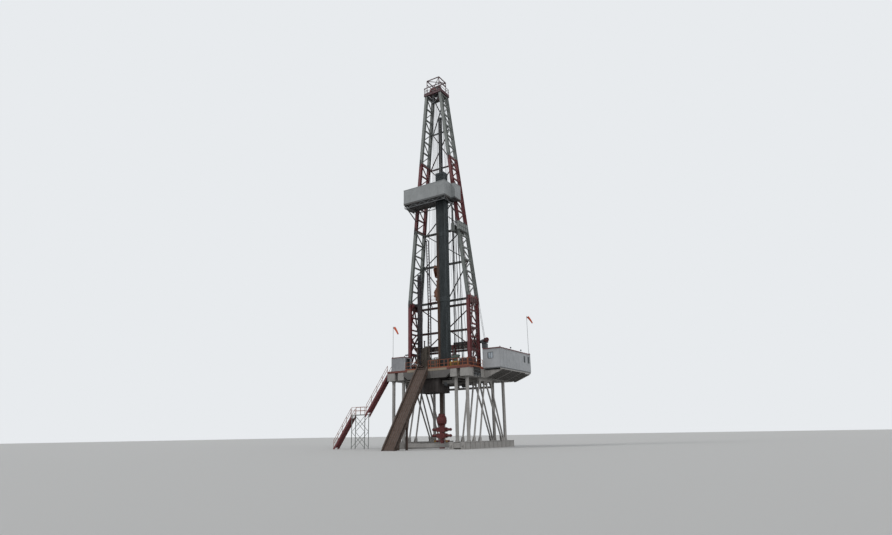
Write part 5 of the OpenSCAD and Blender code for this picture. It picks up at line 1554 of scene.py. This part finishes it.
def block_details():
    """Cheek ribs, pin caps and guard plates of the travelling block."""
    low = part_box("travelling_block")[0]
    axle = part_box("drilling_lines")[0].z
    plates, caps = new_meshes(2)
    for side in SIDES:
        x = side * 0.060
        add_box(plates, (x, x + side * 0.004), near(0, 0.006), (low.z + 0.070, axle - 0.020))
        for y in (-0.040, 0.040):
            foot, head = (x + side * 0.002, y * 0.55, low.z + 0.075), (x + side * 0.002, y, axle - 0.010)
            add_bar(plates, foot, head, 0.008, 0.004)
        add_pin(caps, (0, 0, axle), (side, 0, 0), 0.066, 0.072, 0.017, 24)
        add_bolt_circle(caps, (side * 0.072, 0, axle), (side, 0, 0), 0.012, 8, 0.0018, 0.002)
    for y in SIDES:
        add_hoop(plates, (0, 0, axle), 0.0785, (0, y, 0.30), y * math.radians(38), 0.100, 0.002, 8, (1, 0, 0))
    finish_piece(plates, "block_plates", TERRACOTTA, body="hoisting_block", bevel=0.0008)
    finish_piece(caps, "block_pin_caps", STEEL, body="hoisting_block")


def top_drive_details():
    """Motors, covers, hose stubs, links and elevator of the top drive."""
    covers, dark, steel = new_meshes(3)
    motor_x, motor_y, motor_r, rib = 0.058, -0.007, 0.0335, 0.003
    face, link_y = -0.046, -0.010
    # Levels of the elevator's foot, the links' eyes, the shaft's ends, the flange's foot and the hose's joint
    elevator, low_eye, shaft_low, shaft_top, flange, high_eye, joint = (
        1.922, 1.944, 1.962, 2.020, 2.040, 2.072, 2.262)
    for side in SIDES:
        for z in (2.150, 2.205):
            add_pin(covers, (side * motor_x, motor_y, z), (0, 0, 1), -0.012, 0.012, motor_r, 24)
        for i in range(7):
            z = 2.136 + i * 0.013
            add_box(covers, (side * 0.069, side * 0.073), (-0.036, 0.022), (z, z + rib))
        add_rod(dark, (side * motor_x, motor_y, 2.229), (side * motor_x, motor_y, 2.244), 0.020, 20)
    for i in range(8):
        z = 2.085 + i * 0.020
        add_box(covers, near(0, 0.040), (face - rib, face), (z, z + rib))
    add_box(covers, near(0, 0.034), (face - 2 * rib, face), (2.120, 2.185))
    add_rod(steel, (0, 0, flange), (0, 0, flange + 0.010), 0.030, 28)
    add_bolt_circle(steel, (0, 0, flange + 0.010), (0, 0, 1), 0.026, 12, 0.0022, 0.004)
    add_rod(steel, (0, 0, shaft_low), (0, 0, shaft_top), 0.0105, 20)
    for side in SIDES:
        add_ring(steel, (side * 0.030, link_y, high_eye), (0, 1, 0), 0.009, 0.0035, 20)
        add_ring(steel, (side * 0.014, link_y, low_eye), (0, 1, 0), 0.007, 0.0035, 20)
    add_rod(steel, (0, link_y, elevator), (0, link_y, elevator + 0.012), 0.026, 28)
    add_rod(dark, (0.020, 0.010, joint), (0.020, 0.010, joint + 0.028), 0.007, 14)
    add_tube_path(dark, [(-0.025, 0.012, 2.255), (-0.025, 0.012, 2.295), (-0.038, 0.018, 2.312),
                         (-0.052, 0.024, 2.300), (-0.054, 0.026, joint)], 0.0052, 10)
    finish_piece(covers, "top_drive_motors", TERRACOTTA, body="hoisting_block",
                 bevel=0.0006)
    finish_piece(dark, "top_drive_hoses", RUBBER, body="hoisting_block", smooth=True)
    finish_piece(steel, "top_drive_steel", STEEL, body="hoisting_block")


# Ramp and stairs

def ramp_details():
    """Wear strips, side ribs, side steps and rollers of the pipe ramp."""
    x, half = -0.070, 0.080
    flank = half + 0.012
    top = Vector((x, FLOOR_FRONT - 0.0003, DECK))
    foot = Vector((x, FLOOR_FRONT - 0.750, 0.0))
    length = (foot - top).length
    down = (foot - top).normalized()
    out = Vector((0, down.z, -down.y))
    strips, ribs = new_meshes(2)
    for dx in (-0.055, -0.0185, 0.0185, 0.055):
        off = Vector((dx, 0, 0)) + out * 0.001
        add_bar(strips, top + down * 0.02 + off, foot - down * 0.02 + off, 0.008, 0.003)
    for i in range(1, 13):
        at = top + down * length * i / 13 + out * 0.0004
        add_bar(strips, at - Vector((half, 0, 0)), at + Vector((half, 0, 0)), 0.004, 0.0016)
    for side in SIDES:
        for along in spaced(0.04, length - 0.04, 18):
            at = top + down * along
            at.x = x + side * (flank + 0.002)
            add_bar(ribs, at - out * 0.038, at + out * 0.018, 0.004, 0.004)
        for reach in (0.017, -0.037):
            a, b = top + down * 0.01 + out * reach, foot - down * 0.03 + out * reach
            a.x = b.x = x + side * (flank + 0.003)
            add_bar(ribs, a, b, 0.006, 0.005)
    for i in range(11):
        at = foot - down * (0.06 + i * 0.034)
        add_box(ribs, (x + flank, x + flank + 0.032), near(at.y, 0.010), near(at.z, 0.002))
    rail_a, rail_b = foot - down * 0.04, foot - down * 0.42
    rail_a.x = rail_b.x = x + flank + 0.032
    add_bar(ribs, rail_a, rail_b, 0.003, 0.016)
    add_pin(ribs, (x, top.y - 0.006, DECK + 0.006), (1, 0, 0), -half, half, 0.006, 16)
    finish_piece(strips, "ramp_wear_strips", PIPE)
    finish_piece(ribs, "ramp_ribs", BROWN)


def stair_rails():
    """Hand rails of both flights and of the landing, and the plates under the flights."""
    rails, under = new_meshes(2)
    low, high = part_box("stair_landing")
    bar, rail_hs, posts = 0.0045, (0.055, 0.105), 5
    y_pair = (low.y + 0.001, high.y - 0.001)
    run = high.z * (-FLOOR_X - high.x) / (DECK - high.z)
    flights = ((Vector((-FLOOR_X - 0.0003, 0, DECK)), Vector((high.x, 0, high.z))),
               (Vector((low.x, 0, high.z)), Vector((low.x - run, 0, 0))))
    for start, end in flights:
        slope = (end - start).normalized()
        drop = Vector((-slope.z, 0, slope.x))
        a, b = start + slope * 0.045 + drop * 0.021, end - slope * 0.045 + drop * 0.021
        y0, y1 = y_pair[0] + 0.003, y_pair[1] - 0.003
        add_plate(under, [(at.x, y, at.z) for at, y in ((a, y0), (a, y1), (b, y1), (b, y0))], drop * 0.002)
    for y in y_pair:
        for start, end in flights:
            slope = (end - start).normalized()
            first, last = start + slope * 0.020, end - slope * 0.030
            first.y = last.y = y
            for h in rail_hs:
                add_bar(rails, first + lift(h), last + lift(h), bar)
            for i in range(posts):
                foot = first.lerp(last, i / (posts - 1))
                add_bar(rails, foot - lift(0.016), foot + lift(rail_hs[-1]), bar)
        for h in rail_hs:
            add_bar(rails, (low.x, y, high.z + h), (high.x, y, high.z + h), bar)
        for x in spaced(low.x + 0.004, high.x - 0.004, 4):
            add_bar(rails, (x, y, high.z), (x, y, high.z + rail_hs[-1]), bar)
    finish_piece(rails, "stair_rails", ORANGE)
    finish_piece(under, "stair_undersides", MAROON)


# Lines and tools inside the mast

def hanging_tongs():
    """Two sets of tongs hung on lines beside the rotary table, and their lines up to the crown."""
    tongs, lines = new_meshes(2)
    arm, jaw_y, hanger = 0.055, 0.072, 0.034
    for x, y, z in ((0.345, -0.150, 1.235), (-0.215, 0.060, 1.215)):
        eye = (x, y, z + hanger)
        add_bar(tongs, (x, y - arm, z), (x, y + arm, z + 0.006), 0.010, 0.014)
        add_hoop(tongs, (x, y + jaw_y, z), 0.014, (0.3, -1, 0), math.radians(300), 0.016, 0.006, 16)
        add_box(tongs, near(x, 0.008), (y - 0.066, y - 0.048), (z - 0.010, z + 0.012))
        add_bar(tongs, (x, y, z + 0.004), eye, 0.004, 0.010)
        add_rod(lines, eye, (x * 0.32, y * 0.3, MAST_TOP + 0.006), 0.0015, 6)
    finish_piece(tongs, "hanging_tongs", DARK_PAINT_AND_SHADE, bevel=0.001)
    finish_piece(lines, "tong_lines", ROPE, smooth=True)


def service_hoses():
    """Heavy hoses hung from under the racking board down to the floor, inside the mast's right side."""
    hoses, ties = new_meshes(2)
    pieces, bow = 12, 0.010
    # Top and foot of each hose
    ends = (((0.300, -0.105, 3.45), (0.292, -0.105, 1.13)), ((0.262, -0.020, 3.49), (0.250, -0.030, 1.12)),
            ((0.330, -0.060, 3.45), (0.345, -0.075, 1.13)), ((0.322, 0.030, 3.47), (0.318, 0.060, 1.10)),
            ((0.338, -0.020, 3.30), (0.400, -0.050, 1.12)), ((0.215, 0.075, 3.49), (0.205, 0.085, 1.10)))
    for top, foot in ends:
        top, foot = Vector(top), Vector(foot)
        points = [foot.lerp(top, i / pieces) for i in range(pieces + 1)]
        for i, point in enumerate(points):
            point.x += bow * math.sin(math.pi * i / pieces)
        add_tube_path(hoses, points, 0.0046, 10)
        for end in (top, foot):
            add_pin(ties, end, (0, 0, 1), -0.016, 0.016, 0.0066, 12)
        add_rod(ties, foot, (foot.x, foot.y, DECK), 0.0040, 10)
    finish_piece(hoses, "service_hoses", RUBBER, smooth=True)
    finish_piece(ties, "service_hose_ends", PIPEWORK)


# Wind socks

def windsock(name, base):
    """Cloth sock with soft lengthwise folds, hung open from a ring on an arm and drooping to its tail."""
    body = f"windsock_{name}"
    base = Vector(base)
    reach, mouth, tail, length = 0.021, 0.0172, 0.0085, 0.122
    steps, cuts, folds = 60, 30, 5
    first_dip, last_dip = -50, -64
    cloth = bmesh.new()
    bmesh.ops.create_cone(cloth, cap_ends=False, segments=32, radius1=mouth, radius2=tail, depth=length)
    lengthways = [e for e in cloth.edges if abs(e.verts[0].co.z - e.verts[1].co.z) > length / 2]
    bmesh.ops.subdivide_edges(cloth, edges=lengthways, cuts=cuts, use_grid_fill=False)
    start = base + Vector((reach, 0, -0.002))
    spine, heading = [start.copy()], []
    for i in range(steps):
        turn = math.radians(mix(first_dip, last_dip, i / steps))
        heading.append(Vector((math.cos(turn), 0, math.sin(turn))))
        spine.append(spine[-1] + heading[-1] * length / steps)
    heading.append(heading[-1])
    level = Vector((0, 1, 0))
    for v in cloth.verts:
        t = (v.co.z + length / 2) / length
        i = min(steps, int(round(t * steps)))
        angle = math.atan2(v.co.y, v.co.x)
        depth = 0.20 * min(1.0, t * 1.6)
        wave = 1 + depth * math.cos(angle * folds + 2.2 * t) - 0.30 * depth
        radius = mix(mouth, tail, t) * wave
        flat = mix(1.0, 0.86, min(1.0, t * 2))
        across, above = level * math.cos(angle) * flat, heading[i].cross(level) * math.sin(angle)
        v.co = spine[i] + (across + above) * radius
    piece = finish_piece(cloth, f"{body}_cloth", CLOTH, body=body, smooth=True)
    solid = piece.modifiers.new("cloth thickness", "SOLIDIFY")
    solid.thickness = 0.0006
    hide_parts(body)
    frame_bm = bmesh.new()
    add_ring(frame_bm, start, heading[0], mouth, 0.0011, 28)
    add_pin(frame_bm, base, (0, 0, 1), -0.006, 0.006, 0.0042, 14)
    arm = base + Vector((0.003, 0, 0))
    add_rod(frame_bm, arm, start - Vector((0.0132, 0, -0.0105)), 0.0013, 8)
    add_rod(frame_bm, arm, start + Vector((0, 0.0168, 0)), 0.0011, 8)
    finish_piece(frame_bm, f"{body}_ring", STEEL, body=body)


def windsocks():
    for name in ("left", "right"):
        low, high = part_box(f"windsock_{name}")
        windsock(name, (low.x + 0.005, (low.y + high.y) / 2, high.z - 0.006))


# Camera and light

def photo_camera():
    """Stands where the photograph was taken: 83 m off, 1.84 m up, looking up 16 degrees."""
    focal_px, width_px, shift_px, sensor_mm = 577.1, 892, 6.676, 36.0
    pitch, roll, azimuth = 16.142, 0.928, 32.224
    distance, height = 8.2915, 0.1838
    a, p, r = (math.radians(v) for v in (azimuth, pitch, roll))
    ahead = Vector((-math.sin(a) * math.cos(p), math.cos(a) * math.cos(p), math.sin(p)))
    right = Vector((math.cos(a), math.sin(a), 0))
    up = right.cross(ahead)
    cam_right = right * math.cos(r) - up * math.sin(r)
    cam_up = up * math.cos(r) + right * math.sin(r)
    data = bpy.data.cameras.new("photo camera")
    data.sensor_fit = "HORIZONTAL"
    data.sensor_width = sensor_mm
    data.lens = focal_px * sensor_mm / width_px
    data.shift_x = shift_px / width_px
    data.clip_start = 0.05
    data.clip_end = 200.0
    camera = bpy.data.objects.new("photo camera", data)
    place = Vector((distance * math.sin(a), -distance * math.cos(a), height))
    turn = Matrix((cam_right, cam_up, -ahead)).transposed().to_4x4()
    camera.matrix_world = Matrix.Translation(place) @ turn
    bpy.context.scene.collection.objects.link(camera)
    bpy.context.scene.camera = camera


def floor_and_light():
    """Pale floor and sky, which the camera sees brighter than the light they give, and two lamps."""
    bpy.ops.mesh.primitive_plane_add(size=120, location=(0, 0, 0))
    ground = bpy.context.object
    ground.name = "studio_floor"
    look = new_look("pale floor")
    seen = look.add("LightPath").outputs["Is Camera Ray"]
    look.surface(look.blend(seen, srgb(160, 159, 156), srgb(205, 204, 201)), 0.9)
    ground.data.materials.append(look.owner)
    sky = Look(bpy.data.worlds.new("pale studio"))
    sky.nodes.clear()
    light = sky.add("Background", Color=srgb(236, 241, 248), Strength=0.42)
    shown = sky.add("Background", Color=srgb(232, 235, 238), Strength=1.0)
    rays = sky.add("LightPath").outputs
    seen = sky.combine("MAXIMUM", rays["Is Camera Ray"], rays["Is Transmission Ray"])
    seen = sky.combine("MAXIMUM", seen, rays["Is Glossy Ray"])
    choose = sky.add("MixShader")
    for socket, value in zip(choose.inputs, (seen, light.outputs[0], shown.outputs[0])):
        sky.feed(socket, value)
    sky.add("OutputWorld", Surface=choose.outputs[0])
    scene = bpy.context.scene
    scene.world = sky.owner
    for name, energy, angle, turn in (("key", 0.82, 18, (48, 0, -38)), ("fill", 0.92, 60, (62, 0, 62))):
        data = bpy.data.lights.new(name, "SUN")
        data.energy = energy
        data.angle = math.radians(angle)
        lamp = bpy.data.objects.new(name, data)
        lamp.rotation_euler = [math.radians(v) for v in turn]
        scene.collection.objects.link(lamp)
    scene.view_settings.view_transform = "Standard"


for build in (
    photo_camera, mast_splices, mast_gussets, ladder_cage, column_fittings, base_beam_plates, girder_plates,
    setback_frame_plates, brace_shoes, girder_hoses, trolley_beams, stack_fittings, deck_details,
    rotary_details, power_unit_details, air_winches, pipe_spinner, v_door_posts, bottle_rack, floor_lockers,
    toe_boards, floor_lamp, drawworks_details, hoist_post_details, house_trim, house_windows, house_roofs,
    bracket_plates, crown_details, crown_top, board_floor, board_truss, wall_ribs, kink_plates, foot_pins,
    lower_side_bracing, rear_walkway, rear_beam_flanges, leg_cable_tray, standpipe_lagging, floor_cabinets,
    pipe_tray, platform_frames, stabbing_board, trunk_lines, standpipe_clamps, rail_joints, block_details,
    top_drive_details, ramp_details, stair_rails, hanging_tongs, service_hoses, windsocks, running_ropes,
    fixed_lines, floor_and_light,
):
    build()
